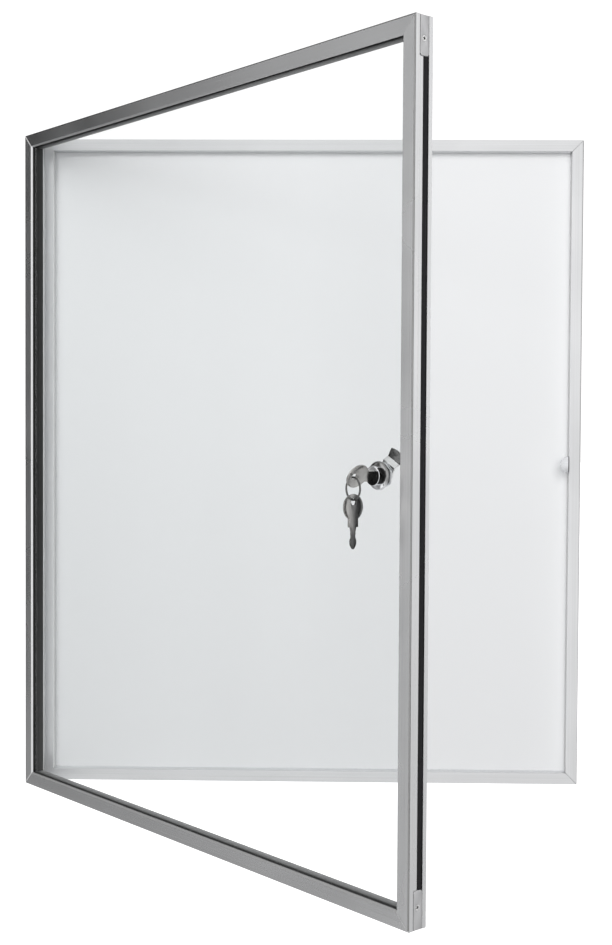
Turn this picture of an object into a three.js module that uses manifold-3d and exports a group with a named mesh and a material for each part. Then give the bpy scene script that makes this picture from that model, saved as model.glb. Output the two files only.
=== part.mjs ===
import * as THREE from "three";
import { mergeVertices, toCreasedNormals } from "three/addons/utils/BufferGeometryUtils.js";
import Module from "manifold-3d";

// A slim lockable notice board: a shallow aluminium case that hangs on a wall, and a glazed door of
// the same outline, hinged on the left and held by a cam lock. It stands as photographed, with the
// door open and the key in its lock.
// Lengths are millimetres. +Z is up, the viewer looks along +Y, and the wall is the plane y = 0.

// Whole board
const boardWidth = 670;
const boardHeight = 800;
const doorOpenDegrees = 48;
const doorGap = 1;
const fit = 0.3;
const mitreGap = 0.4;
const cutOver = 1;
const arcSteps = 4;
const roundSteps = 28;
const smallSteps = 16;
const creaseDegrees = 30;
const hexSides = 6;

// Case frame, an extruded profile
const caseFace = 14;
const caseDepth = 24;
const caseRecess = 13;
const caseWall = 1.8;
const caseArris = 0.8;
const caseInnerBevel = 0.6;
const caseLeg = 3;
const caseFlangeReach = 9;
const caseFlange = 1.5;

// Back of the case: a steel writing sheet, a core board and a rear sheet
const whiteboardThickness = 1;
const rearSheetThickness = 1.1;
const layerGap = 0.1;

// Hanger plates with keyholes, clamped between the core board and the rear sheet
const hangerWidth = 30;
const hangerHeight = 44;
const hangerThickness = 1.5;
const hangerInset = 70;
const hangerDrop = 70;
const hangerRim = 3;
const hangerPocketDepth = 4.5;
const keyholeRadius = 5;
const keyholeSlot = 5;
const keyholeLength = 12;
const keyholeDrop = 6;

// Corner brackets, pressed into the ends of the hollow profiles
const bracketLeg = 42;
const bracketTip = 1.5;

// Door frame, an extruded profile
const doorFace = 16;
const doorDepth = 22;
const doorWall = 1.6;
const doorArris = 1;
const doorInnerBevel = 1.6;
const doorLip = 2;
const doorInnerWall = 16.5;
const rebateDepth = 7;
const channelFront = 5.7;
const channelWidth = 6.4;
const channelDepth = 1.2;
const channelRound = 1.2;
const slotWidth = 5.3;
const slotDepth = 5.2;

// Pane and its gasket
const paneThickness = 3;
const gasketLip = 1;
const gasketBack = 1.3;
const gasketSet = 0.1;

// Seal strip and end blocks in the channel of the free stile
const stripSunk = 0.7;
const stripCrown = 0.5;
const blockHeight = 35;
const blockSunk = 0.2;
const blockJoint = 0.8;
const blockRest = 0.1;
const blockRound = 3;
const blockScrewInset = 20;
const screwHeadRadius = 2.7;
const screwRadius = 1.5;
const screwHeadDepth = 1.7;
const screwRimHeight = 0.3;
const screwLength = 6.6;

// Hinges: a leaf on each frame, with knuckles on one pin outside the stiles
const knuckleRadius = 3;
const pinRadius = 1.5;
const pinHeadRadius = 2.4;
const pinHead = 1.2;
const leafThickness = 1.5;
const leafReach = 13;
const leafClear = 0.6;
const knuckleInset = 1.2;

// Cam lock through the pane
const lockInset = 44.5;
const lockHeadRadius = 9;
const lockHeadStand = 5;
const lockHeadRound = 0.9;
const lockHeadRim = 1.6;
const lockFaceSunk = 0.5;
const barrelRadius = 8;
const barrelEnd = 2.8;
const rosetteRadius = 13.1;
const rosetteThickness = 2.7;
const rosetteBevel = 0.7;
const rosetteRimBevel = 1.1;
const lockNutAcross = 21;
const lockNutThickness = 2.4;
const lockNutTurnDegrees = 8;
const plugRadius = 5;
const shankRadius = 4.6;
const shankFlat = 3.7;
const camTurnDegrees = 30;
const camLength = 25.5;
const camWidth = 16;
const camThickness = 1.8;
const camBendStart = 12.5;
const camBendEnd = 16;
const camSet = 3.7;
const camNutAcross = 12.6;
const camNutThickness = 2;
const shankTail = 1.4;

// Keys and key ring
const keyThickness = 2;
const bowRadius = 11.6;
const bowLength = 22.8;
const keyHoleRadius = 3;
const keyHoleInset = 7;
const shoulderWidth = 11;
const shoulderLength = 6.5;
const bladeWidth = 7;
const bladeLength = 19.4;
const bladeShares = [
  [0, 0.94],
  [0.1, 0.84],
  [0.22, 0.66],
  [0.3, 0.74],
  [0.38, 0.6],
  [0.48, 0.64],
  [0.56, 0.9],
  [0.64, 1],
  [0.8, 0.93],
  [0.92, 0.52],
  [1, 0.16],
];
const bladeGrooveWidth = 1.6;
const bladeGrooveDepth = 0.5;
const bladeGrooveShift = 0.9;
const ringRadius = 11;
const ringWire = 2;
const ringSteps = 36;
const wireSteps = 8;
const ringDrop = 0.8;
const ringShift = 0.4;
const ringTurnDegrees = 5;

// Keeper on the right stile of the case
const keeperRadius = 10;
const keeperSheet = 1.2;
const keeperLegHalf = 10;
const keeperCamClear = 0.8;
const keeperTipClear = 1;
const keeperFootFront = 2;
const keeperFootRear = 12;
const keeperJog = 1.5;

const degrees = Math.PI / 180;
const quarter = Math.PI / 2;

// Finishes
const anodised = new THREE.MeshStandardMaterial({ color: 0xb4b6b8, roughness: 0.38, metalness: 0.85 });
const whiteLacquer = new THREE.MeshStandardMaterial({ color: 0xeeeff0, roughness: 0.3, metalness: 0.05 });
const coreBoard = new THREE.MeshStandardMaterial({ color: 0xa08c6e, roughness: 0.9, metalness: 0 });
const galvanised = new THREE.MeshStandardMaterial({ color: 0xa9adb0, roughness: 0.5, metalness: 0.8 });
const plainAluminium = new THREE.MeshStandardMaterial({ color: 0xaeb0b2, roughness: 0.45, metalness: 0.85 });
const clearPane = new THREE.MeshStandardMaterial({
  color: 0xf4f8f8,
  roughness: 0.05,
  metalness: 0,
  transparent: true,
  opacity: 0.15,
});
const blackRubber = new THREE.MeshStandardMaterial({ color: 0x17181a, roughness: 0.8, metalness: 0 });
const greyPlastic = new THREE.MeshStandardMaterial({ color: 0xb2b3b5, roughness: 0.55, metalness: 0 });
const chrome = new THREE.MeshStandardMaterial({ color: 0xd5d7d9, roughness: 0.12, metalness: 1 });
const steel = new THREE.MeshStandardMaterial({ color: 0xb9bbbd, roughness: 0.3, metalness: 1 });
const nickel = new THREE.MeshStandardMaterial({ color: 0xc2c0bb, roughness: 0.28, metalness: 1 });

// Solids: a mesh made closed by merging its vertices can be joined and cut
const wasm = await Module();
wasm.setup();

function solidOf(geometry) {
  const bare = geometry.clone();
  bare.deleteAttribute("normal");
  bare.deleteAttribute("uv");
  const merged = mergeVertices(bare);
  return new wasm.Manifold(
    new wasm.Mesh({
      numProp: 3,
      vertProperties: merged.getAttribute("position").array,
      triVerts: new Uint32Array(merged.getIndex().array),
    }),
  );
}

function geometryOf(solid) {
  const { vertProperties, triVerts } = solid.getMesh();
  const geometry = new THREE.BufferGeometry();
  geometry.setAttribute("position", new THREE.BufferAttribute(new Float32Array(vertProperties), 3));
  geometry.setIndex(new THREE.BufferAttribute(new Uint32Array(triVerts), 1));
  return toCreasedNormals(geometry, creaseDegrees * degrees);
}

// Extrudes an outline, drawn as pairs or as a shape, along its own +Z
function extrude(outline, depth, steps = arcSteps) {
  const shape = Array.isArray(outline) ? shapeOf(outline) : outline;
  return new THREE.ExtrudeGeometry(shape, { depth, bevelEnabled: false, curveSegments: steps });
}

function shapeOf(points) {
  return new THREE.Shape(points.map(([x, y]) => new THREE.Vector2(x, y)));
}

function holeOf(points) {
  return new THREE.Path(points.map(([x, y]) => new THREE.Vector2(x, y)));
}

// Turns a profile of [radius, height] pairs about the Y axis
function turned(points, steps = roundSteps) {
  const profile = points.map(([radius, height]) => new THREE.Vector2(radius, height));
  return new THREE.LatheGeometry(profile, steps);
}

// Turns an extrusion so that its outline lies in the X-Z plane and its depth runs along +Y
function layFlat(geometry, depth) {
  return geometry.rotateX(quarter).translate(0, depth, 0);
}

// Sends an extrusion's outline axes and depth to the three given directions
function alongAxes(geometry, outlineX, outlineY, depth) {
  const turn = new THREE.Matrix4().makeBasis(outlineX, outlineY, depth);
  return geometry.applyMatrix4(turn);
}

const alongX = new THREE.Vector3(1, 0, 0);
const alongY = new THREE.Vector3(0, 1, 0);
const alongZ = new THREE.Vector3(0, 0, 1);
const downZ = new THREE.Vector3(0, 0, -1);

function addPiece(group, name, geometry, material) {
  const piece = new THREE.Mesh(geometry, material);
  piece.name = name;
  group.add(piece);
  return piece;
}

// Frames: four bars of one profile, mitred at the corners. In a profile's outline the first number
// is the distance from the frame's outer edge and the second the depth from its front face.
const sides = [
  { name: "stile_left", turn: 0, span: boardHeight, across: boardWidth },
  { name: "rail_top", turn: 1, span: boardWidth, across: boardHeight },
  { name: "stile_right", turn: 2, span: boardHeight, across: boardWidth },
  { name: "rail_bottom", turn: 3, span: boardWidth, across: boardHeight },
];

const corners = [
  { name: "bottom_left", turn: 0, right: -1, up: -1 },
  { name: "top_left", turn: 1, right: -1, up: 1 },
  { name: "top_right", turn: 2, right: 1, up: 1 },
  { name: "bottom_right", turn: 3, right: 1, up: -1 },
];

// The bar's ends are drawn in by the distance from the outer edge, which makes the 45 degree mitre
function mitredBar(outline, length) {
  const bar = extrude(outline, length);
  const place = bar.getAttribute("position");
  for (let i = 0; i < place.count; i += 1) {
    const end = Math.sign(place.getZ(i) - length / 2);
    place.setZ(i, end * (length / 2 - mitreGap / 2 - place.getX(i)));
  }
  bar.computeVertexNormals();
  return bar;
}

// Stands a piece, drawn for the left stile, on any of the four sides
function standOnSide(piece, side) {
  const angle = side.turn * quarter;
  const inward = new THREE.Vector3(Math.cos(angle), 0, -Math.sin(angle));
  piece.rotation.y = angle;
  piece.position.copy(inward.multiplyScalar(-side.across / 2));
  piece.position.x += boardWidth / 2;
  return piece;
}

function standInCorner(piece, corner) {
  piece.rotation.y = corner.turn * quarter;
  piece.position.x += boardWidth / 2 + (corner.right * boardWidth) / 2;
  piece.position.z += (corner.up * boardHeight) / 2;
  return piece;
}

// An L of flat bar that fills the chamber of two meeting bars
function cornerBracket(near, far, depth) {
  const end = near + bracketLeg;
  const outline = [
    [near, near],
    [end - bracketTip, near],
    [end, near + bracketTip],
    [end, far - bracketTip],
    [end - bracketTip, far],
    [far, far],
    [far, end - bracketTip],
    [far - bracketTip, end],
    [near + bracketTip, end],
    [near, end - bracketTip],
  ];
  return layFlat(extrude(outline, depth), depth);
}

// Case
const caseGroup = new THREE.Group();
caseGroup.name = "case";
caseGroup.position.set(-boardWidth / 2, -caseDepth, 0);

const flangeRear = caseDepth - rearSheetThickness - layerGap;
const flangeFront = flangeRear - caseFlange;

function caseProfile() {
  const outline = new THREE.Shape();
  outline.moveTo(caseArris, 0);
  outline.lineTo(caseFace - caseInnerBevel, 0);
  outline.lineTo(caseFace, caseInnerBevel);
  outline.lineTo(caseFace, caseRecess);
  outline.lineTo(caseLeg, caseRecess);
  outline.lineTo(caseLeg, flangeFront);
  outline.lineTo(caseFlangeReach, flangeFront);
  outline.lineTo(caseFlangeReach, flangeRear);
  outline.lineTo(caseWall, flangeRear);
  outline.lineTo(caseWall, caseDepth);
  outline.lineTo(0, caseDepth);
  outline.lineTo(0, caseArris);
  outline.absarc(caseArris, caseArris, caseArris, Math.PI, 3 * quarter, false);
  const inner = caseFace - caseWall;
  const rear = caseRecess - caseWall;
  outline.holes.push(
    holeOf([
      [caseWall, caseWall],
      [caseWall, rear],
      [inner, rear],
      [inner, caseWall],
    ]),
  );
  return outline;
}

for (const side of sides) {
  const bar = addPiece(caseGroup, "case_" + side.name, mitredBar(caseProfile(), side.span), anodised);
  standOnSide(bar, side);
}

for (const corner of corners) {
  const near = caseWall + fit;
  const far = caseFace - caseWall - fit;
  const depth = caseRecess - 2 * near;
  const bracket = cornerBracket(near, far, depth);
  const piece = addPiece(caseGroup, "case_corner_bracket_" + corner.name, bracket, galvanised);
  piece.position.y = near;
  standInCorner(piece, corner);
}

// Back sheets, from the writing surface to the wall
function sheetSolid(inset, thickness, front) {
  const width = boardWidth - 2 * inset;
  const height = boardHeight - 2 * inset;
  const sheet = new THREE.BoxGeometry(width, thickness, height);
  return solidOf(sheet.translate(boardWidth / 2, front + thickness / 2, 0));
}

const coreFront = caseRecess + 2 * layerGap + whiteboardThickness;
const coreThickness = flangeFront - layerGap - coreFront;
const rearSheetFront = caseDepth - rearSheetThickness;
const hangerFront = rearSheetFront - layerGap - hangerThickness;
const hangerPlaces = [hangerInset, boardWidth - hangerInset];
const hangerMiddle = boardHeight / 2 - hangerDrop;

function boxAt(width, depth, height, x, front, z) {
  return new THREE.BoxGeometry(width, depth, height).translate(x, front + depth / 2, z);
}

const sheetInset = caseLeg + fit;
const writingSheet = sheetSolid(sheetInset, whiteboardThickness, caseRecess + layerGap);
addPiece(caseGroup, "whiteboard_sheet", geometryOf(writingSheet), whiteLacquer);

let core = sheetSolid(sheetInset, coreThickness, coreFront);
let rearSheet = sheetSolid(caseWall + fit, rearSheetThickness, rearSheetFront);
for (const x of hangerPlaces) {
  const windowWidth = hangerWidth - 2 * hangerRim;
  const windowHeight = hangerHeight - 2 * hangerRim;
  const pocketFront = coreFront + coreThickness - hangerPocketDepth;
  const pocketDepth = hangerPocketDepth + cutOver;
  const pocket = boxAt(windowWidth, pocketDepth, windowHeight, x, pocketFront, hangerMiddle);
  core = core.subtract(solidOf(pocket));
  const windowFront = rearSheetFront - cutOver;
  const windowDepth = rearSheetThickness + 2 * cutOver;
  const opening = boxAt(windowWidth, windowDepth, windowHeight, x, windowFront, hangerMiddle);
  rearSheet = rearSheet.subtract(solidOf(opening));
}
addPiece(caseGroup, "core_board", geometryOf(core), coreBoard);
addPiece(caseGroup, "rear_sheet", geometryOf(rearSheet), plainAluminium);

// A keyhole: the screw's head passes the round part and the plate drops on to the slot above it
function hangerPlate() {
  const plate = shapeOf([
    [-hangerWidth / 2, -hangerHeight / 2],
    [hangerWidth / 2, -hangerHeight / 2],
    [hangerWidth / 2, hangerHeight / 2],
    [-hangerWidth / 2, hangerHeight / 2],
  ]);
  const half = keyholeSlot / 2;
  const open = Math.asin(half / keyholeRadius);
  const top = keyholeLength - keyholeDrop;
  const keyhole = new THREE.Path();
  keyhole.absarc(0, -keyholeDrop, keyholeRadius, quarter - open, quarter + open - 4 * quarter, true);
  keyhole.lineTo(-half, top);
  keyhole.absarc(0, top, half, Math.PI, 0, true);
  plate.holes.push(keyhole);
  return layFlat(extrude(plate, hangerThickness, smallSteps), hangerThickness);
}

hangerPlaces.forEach((x, index) => {
  const name = "hanger_plate_" + (index === 0 ? "left" : "right");
  const piece = addPiece(caseGroup, name, hangerPlate(), galvanised);
  piece.position.set(x, hangerFront, hangerMiddle);
});

// Door, drawn shut in its own frame: x from the hinge stile's outer side, y from the front face
const hingeStand = knuckleRadius + fit;
const hingeDepth = doorDepth + doorGap / 2;
const hingeX = -boardWidth / 2 - hingeStand;
const hingeY = -caseDepth - doorGap / 2;

const doorGroup = new THREE.Group();
doorGroup.name = "door";
doorGroup.position.set(hingeX, hingeY, 0);
doorGroup.rotation.z = -doorOpenDegrees * degrees;
const leafGroup = new THREE.Group();
leafGroup.position.set(hingeStand, -hingeDepth, 0);
doorGroup.add(leafGroup);

const rebateFront = doorLip;
const rebateRear = rebateFront + 2 * gasketLip + paneThickness + 4 * fit;
const rebateFloor = doorFace - rebateDepth;
const slotFront = channelFront + channelWidth;
const slotRear = slotFront + slotWidth;
const paneFront = rebateFront + gasketLip + 2 * fit;
const paneRear = paneFront + paneThickness;
const rearSlope = doorDepth - doorInnerWall;
const chamberNear = slotDepth + doorWall;
const chamberFar = doorFace - doorWall;
const chamberFront = rebateRear + doorWall;
const chamberRear = doorDepth - doorWall;
const slopeSum = doorFace + doorInnerWall - doorWall * Math.SQRT2;

function doorProfile() {
  const outline = new THREE.Shape();
  outline.moveTo(doorArris, 0);
  outline.lineTo(doorFace - doorInnerBevel, 0);
  outline.lineTo(doorFace, doorInnerBevel);
  outline.lineTo(doorFace, rebateFront);
  outline.lineTo(rebateFloor, rebateFront);
  outline.lineTo(rebateFloor, rebateRear);
  outline.lineTo(doorFace, rebateRear);
  outline.lineTo(doorFace, doorInnerWall);
  outline.lineTo(doorFace - rearSlope, doorDepth);
  outline.lineTo(0, doorDepth);
  outline.lineTo(0, slotRear);
  outline.lineTo(slotDepth, slotRear);
  outline.lineTo(slotDepth, slotFront);
  const roundFront = slotFront - channelRound;
  outline.absarc(channelDepth + channelRound, roundFront, channelRound, quarter, Math.PI, false);
  outline.lineTo(channelDepth, channelFront);
  outline.lineTo(0, channelFront);
  outline.lineTo(0, doorArris);
  outline.absarc(doorArris, doorArris, doorArris, Math.PI, 3 * quarter, false);
  outline.holes.push(
    holeOf([
      [chamberNear, chamberFront],
      [chamberNear, chamberRear],
      [slopeSum - chamberRear, chamberRear],
      [chamberFar, slopeSum - chamberFar],
      [chamberFar, chamberFront],
    ]),
  );
  return outline;
}

// The section that fills the channel and its slot, from an outer level down to the slot's floor
function channelFill(outer) {
  const fill = new THREE.Shape();
  const middle = channelDepth + channelRound;
  fill.moveTo(outer, channelFront + blockJoint);
  fill.lineTo(channelDepth - fit, channelFront + blockJoint);
  fill.absarc(middle, slotFront - channelRound, channelRound + fit, Math.PI, quarter, true);
  fill.lineTo(slotDepth - fit, slotFront + fit);
  fill.lineTo(slotDepth - fit, slotRear - blockRest);
  fill.lineTo(outer, slotRear - blockRest);
  return fill;
}

const freeSide = sides[2];
const doorNames = ["stile_hinge", "rail_top", "stile_free", "rail_bottom"];
const screwDepth = (channelFront + slotRear) / 2;
const screwHeight = boardHeight / 2 - blockScrewInset;

// A countersunk screw along +Y, its head's rim at y = 0, grown on all sides to make its hole
function screwProfile(grow) {
  return [
    [0, -grow],
    [screwHeadRadius + grow, -grow],
    [screwHeadRadius + grow, screwRimHeight],
    [screwRadius + grow, screwHeadDepth],
    [screwRadius + grow, screwLength - screwRadius],
    [0, screwLength + grow],
  ];
}

function screwAt(grow, height) {
  return turned(screwProfile(grow), smallSteps).rotateZ(-quarter).translate(blockSunk, screwDepth, height);
}

for (const side of sides) {
  let bar = mitredBar(doorProfile(), side.span);
  if (side === freeSide) {
    for (const up of [1, -1]) {
      bar = geometryOf(solidOf(bar).subtract(solidOf(screwAt(fit, up * screwHeight))));
    }
  }
  const piece = addPiece(leafGroup, "door_" + doorNames[side.turn], bar, anodised);
  standOnSide(piece, side);
}

for (const corner of corners) {
  const near = chamberNear + fit;
  const far = chamberFar - fit;
  const depth = slopeSum - chamberFar - chamberFront - 2 * fit;
  const bracket = cornerBracket(near, far, depth);
  const cornerName = corner.name.replace("left", "hinge").replace("right", "free");
  const piece = addPiece(leafGroup, "door_corner_bracket_" + cornerName, bracket, galvanised);
  piece.position.y = chamberFront + fit;
  standInCorner(piece, corner);
}

// A closed rectangular loop of one section, with the outline's first number measured inwards
function mitredLoop(outline) {
  const points = [];
  const faces = [];
  const count = outline.length;
  for (const corner of [corners[0], corners[3], corners[2], corners[1]]) {
    for (const [inset, depth] of outline) {
      const x = boardWidth / 2 + corner.right * (boardWidth / 2 - inset);
      points.push(x, depth, corner.up * (boardHeight / 2 - inset));
    }
  }
  for (let run = 0; run < corners.length; run += 1) {
    for (let step = 0; step < count; step += 1) {
      const a = run * count + step;
      const b = run * count + ((step + 1) % count);
      const c = ((run + 1) % corners.length) * count + ((step + 1) % count);
      const d = ((run + 1) % corners.length) * count + step;
      faces.push(a, c, b, a, d, c);
    }
  }
  const loop = new THREE.BufferGeometry();
  loop.setAttribute("position", new THREE.Float32BufferAttribute(points, 3));
  loop.setIndex(faces);
  return toCreasedNormals(loop, creaseDegrees * degrees);
}

const gasketOuter = rebateFloor + fit;
const gasketInner = doorFace - gasketSet;
const paneInset = gasketOuter + gasketBack + fit;
const gasketSection = [
  [gasketOuter, rebateFront + fit],
  [gasketInner, rebateFront + fit],
  [gasketInner, rebateFront + fit + gasketLip],
  [gasketOuter + gasketBack, rebateFront + fit + gasketLip],
  [gasketOuter + gasketBack, rebateRear - fit - gasketLip],
  [gasketInner, rebateRear - fit - gasketLip],
  [gasketInner, rebateRear - fit],
  [gasketOuter, rebateRear - fit],
];
addPiece(leafGroup, "glazing_gasket", mitredLoop(gasketSection), blackRubber);

// Pane, with the lock's hole
const lockX = boardWidth - lockInset;
const paneSolid = sheetSolid(paneInset, paneThickness, paneFront);
const paneHole = new THREE.CylinderGeometry(
  barrelRadius + fit,
  barrelRadius + fit,
  paneThickness + 2 * cutOver,
  roundSteps,
).translate(lockX, paneFront + paneThickness / 2, 0);
addPiece(leafGroup, "pane", geometryOf(paneSolid.subtract(solidOf(paneHole))), clearPane);

// Free stile: a black seal strip between two end blocks
function sealStrip() {
  const near = slotFront + fit;
  const far = slotRear - fit;
  const floor = slotDepth - fit;
  const length = boardHeight - 2 * (blockHeight + fit);
  const section = new THREE.Shape();
  section.moveTo(floor, near);
  section.lineTo(floor, far);
  section.lineTo(stripSunk + stripCrown, far);
  section.quadraticCurveTo(stripSunk - stripCrown, (near + far) / 2, stripSunk + stripCrown, near);
  return extrude(section, length).translate(0, 0, -length / 2);
}
standOnSide(addPiece(leafGroup, "free_edge_seal", sealStrip(), blackRubber), freeSide);

// A block of the channel's section, its inner end rounded, with the end at +z on the frame's end
function endBlock() {
  const fill = extrude(channelFill(blockSunk), blockHeight).translate(0, 0, -blockHeight);
  const half = (slotRear - channelFront) / 2;
  const near = channelFront + blockJoint;
  const plan = new THREE.Shape();
  plan.moveTo(near, cutOver);
  plan.lineTo(near, blockRound - blockHeight);
  plan.absarc(near + blockRound, blockRound - blockHeight, blockRound, Math.PI, 3 * quarter, false);
  plan.absarc(slotRear - blockRound, blockRound - blockHeight, blockRound, -quarter, 0, false);
  plan.lineTo(slotRear, cutOver);
  const face = alongAxes(extrude(plan, 2 * half), alongY, alongZ, alongX).translate(-half, 0, 0);
  return solidOf(fill).intersect(solidOf(face));
}

for (const up of [1, -1]) {
  const end = up > 0 ? "top" : "bottom";
  const drilled = endBlock().subtract(solidOf(screwAt(fit, -blockScrewInset)));
  const block = new THREE.Group();
  block.position.z = up * (boardHeight / 2 - fit / 2);
  block.scale.z = up;
  addPiece(block, "edge_block_" + end, geometryOf(drilled), greyPlastic);
  addPiece(block, "edge_block_screw_" + end, screwAt(0, -blockScrewInset), steel);
  const carrier = new THREE.Group();
  carrier.add(block);
  leafGroup.add(standOnSide(carrier, freeSide));
}

// Hinges. The leaf's outline runs away from the pin along y, and its knuckle takes one half of it.
const leafNear = knuckleRadius + leafClear;
const pinLength = blockHeight - pinHead - knuckleInset / 2;
const knuckleHeight = (pinLength - knuckleInset) / 2;
const leafFar = leafNear + leafReach;
const knuckleLow = knuckleInset;
const knuckleSplit = knuckleInset + knuckleHeight;

function hingeLeaf(low) {
  const high = low + knuckleHeight - fit;
  const outline = [[leafFar, 0]];
  outline.push([leafFar, blockHeight], [leafNear, blockHeight], [leafNear, high], [0, high]);
  outline.push([0, low], [leafNear, low], [leafNear, 0]);
  const plate = extrude(outline, leafThickness);
  const outer = hingeStand - fit - leafThickness;
  const flat = solidOf(alongAxes(plate, alongY, alongZ, alongX).translate(outer, 0, 0));
  const barrel = new THREE.CylinderGeometry(knuckleRadius, knuckleRadius, high - low, smallSteps);
  barrel.rotateX(quarter).translate(0, 0, (low + high) / 2);
  const boreHeight = high - low + 2 * cutOver;
  const bore = new THREE.CylinderGeometry(pinRadius + fit, pinRadius + fit, boreHeight, smallSteps);
  bore.rotateX(quarter).translate(0, 0, (low + high) / 2);
  return flat.add(solidOf(barrel)).subtract(solidOf(bore));
}

for (const up of [1, -1]) {
  const end = up > 0 ? "top" : "bottom";
  const foot = up > 0 ? boardHeight / 2 - blockHeight - fit / 2 : -boardHeight / 2 + fit / 2;
  const caseLeaf = hingeLeaf(knuckleLow);
  const caseHalf = addPiece(caseGroup, "case_hinge_leaf_" + end, geometryOf(caseLeaf), steel);
  caseHalf.position.set(-hingeStand, -doorGap / 2, foot);
  const doorLeaf = hingeLeaf(knuckleSplit);
  const mirrored = doorLeaf.mirror([0, 1, 0]);
  const fillOuter = -fit - leafThickness / 2;
  const fill = extrude(channelFill(fillOuter), blockHeight).translate(hingeStand, -hingeDepth, 0);
  const joined = mirrored.add(solidOf(fill));
  const doorHalf = addPiece(doorGroup, "door_hinge_leaf_" + end, geometryOf(joined), steel);
  doorHalf.position.z = foot;
  const pin = turned(
    [
      [0, 0],
      [pinRadius, 0],
      [pinRadius, pinLength],
      [pinHeadRadius, pinLength],
      [pinHeadRadius, pinLength + pinHead],
      [0, pinLength + pinHead],
    ],
    smallSteps,
  ).rotateX(quarter);
  const pinPiece = addPiece(caseGroup, "hinge_pin_" + end, pin, steel);
  pinPiece.position.set(-hingeStand, -doorGap / 2, foot + knuckleLow / 2);
}

// Lock, drawn about its own axis: y from the door's front face
const lockGroup = new THREE.Group();
lockGroup.position.set(lockX, 0, 0);
leafGroup.add(lockGroup);

const headFront = -lockHeadStand;
const headRear = paneFront - 2 * fit - rosetteThickness;
const bore = plugRadius + fit;
const nutFront = paneRear + fit;
const barrelRear = paneRear + barrelEnd;

const housing = turned([
  [bore, headFront + lockFaceSunk],
  [lockHeadRadius - lockHeadRim, headFront + lockFaceSunk],
  [lockHeadRadius - lockHeadRim, headFront],
  [lockHeadRadius - lockHeadRound, headFront],
  [lockHeadRadius, headFront + lockHeadRound],
  [lockHeadRadius, headRear],
  [barrelRadius, headRear],
  [barrelRadius, barrelRear],
  [bore, barrelRear],
  [bore, headFront + lockFaceSunk],
]);
addPiece(lockGroup, "lock_housing", housing, chrome);

const rosetteFront = headRear + fit;
const rosetteRear = rosetteFront + rosetteThickness;
const rosette = turned([
  [barrelRadius + fit, rosetteFront],
  [lockHeadRadius + fit, rosetteFront],
  [rosetteRadius - rosetteRimBevel, rosetteFront + rosetteBevel],
  [rosetteRadius, rosetteFront + rosetteBevel + rosetteRimBevel],
  [rosetteRadius, rosetteRear],
  [barrelRadius + fit, rosetteRear],
  [barrelRadius + fit, rosetteFront],
]);
addPiece(lockGroup, "lock_rosette", rosette, chrome);

// A hexagon nut round the Y axis, its front at y = 0, with a chamfered outer rim
function hexNut(across, thickness, hole) {
  const corner = across / 2 / Math.cos(Math.PI / hexSides);
  const prism = new THREE.CylinderGeometry(corner, corner, thickness, hexSides);
  prism.translate(0, thickness / 2, 0);
  const rim = (corner - across / 2) / 2;
  const turnedRim = turned([
    [0, 0],
    [corner - rim, 0],
    [corner, rim],
    [corner, thickness - rim],
    [corner - rim, thickness],
    [0, thickness],
  ]);
  const eye = new THREE.CylinderGeometry(hole, hole, thickness + 2 * cutOver, roundSteps);
  eye.translate(0, thickness / 2, 0);
  return solidOf(prism).intersect(solidOf(turnedRim)).subtract(solidOf(eye));
}

const lockNut = geometryOf(hexNut(lockNutAcross, lockNutThickness, barrelRadius + fit));
const lockNutPiece = addPiece(lockGroup, "lock_nut", lockNut, steel);
lockNutPiece.position.y = nutFront;
lockNutPiece.rotation.y = lockNutTurnDegrees * degrees;

// Plug group: what the key turns, drawn with the cam pointing up
const plugGroup = new THREE.Group();
plugGroup.rotation.y = camTurnDegrees * degrees;
lockGroup.add(plugGroup);

const camFront = barrelRear + fit;
const camRear = camFront + camThickness;
const camNutFront = camRear + fit;
const plugRear = camNutFront + camNutThickness + shankTail;

function flatSides(radius, half, front, rear) {
  const rod = new THREE.CylinderGeometry(radius, radius, rear - front, roundSteps);
  rod.translate(0, (front + rear) / 2, 0);
  const slab = boxAt(2 * half, rear - front, 2 * radius + cutOver, 0, front, 0);
  return solidOf(rod).intersect(solidOf(slab));
}

const plugBody = turned([
  [0, headFront + lockFaceSunk],
  [plugRadius, headFront + lockFaceSunk],
  [plugRadius, barrelRear],
  [0, barrelRear],
]);
const keywayDepth = bladeLength + 2 * fit + cutOver;
const keywayWidth = keyThickness + 2 * fit;
const keyway = boxAt(keywayWidth, keywayDepth, bladeWidth + 2 * fit, 0, headFront - fit - cutOver, 0);
const shank = flatSides(shankRadius, shankFlat, barrelRear - cutOver, plugRear);
const plug = solidOf(plugBody).add(shank).subtract(solidOf(keyway));
addPiece(plugGroup, "lock_plug", geometryOf(plug), chrome);

// Cam: a flat bar set back by two bends, its tip an arc about the lock's axis
function camSolid() {
  const step = camSet;
  const root = -camWidth / 2;
  const side = [
    [root, camFront],
    [camBendStart, camFront],
    [camBendEnd, camFront + step],
    [camLength, camFront + step],
    [camLength, camRear + step],
    [camBendEnd, camRear + step],
    [camBendStart, camRear],
    [root, camRear],
  ];
  const profile = alongAxes(extrude(side, camWidth), alongZ, alongY, alongX.clone().negate());
  profile.translate(camWidth / 2, 0, 0);
  const half = camWidth / 2;
  const tip = Math.acos(half / camLength);
  const plan = new THREE.Shape();
  plan.absarc(0, 0, camLength, tip, Math.PI - tip, false);
  plan.absarc(0, 0, half, Math.PI, 2 * Math.PI, false);
  const reach = camSet + 2 * camThickness;
  const face = layFlat(extrude(plan, reach, smallSteps), reach).translate(0, camFront, 0);
  const hole = flatSides(shankRadius + fit, shankFlat + fit, camFront - cutOver, camRear + cutOver);
  return solidOf(profile).intersect(solidOf(face)).subtract(hole);
}
addPiece(plugGroup, "cam", geometryOf(camSolid()), steel);

const camNut = hexNut(camNutAcross, camNutThickness, shankRadius + fit);
addPiece(plugGroup, "cam_nut", geometryOf(camNut), steel).position.y = camNutFront;

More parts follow.
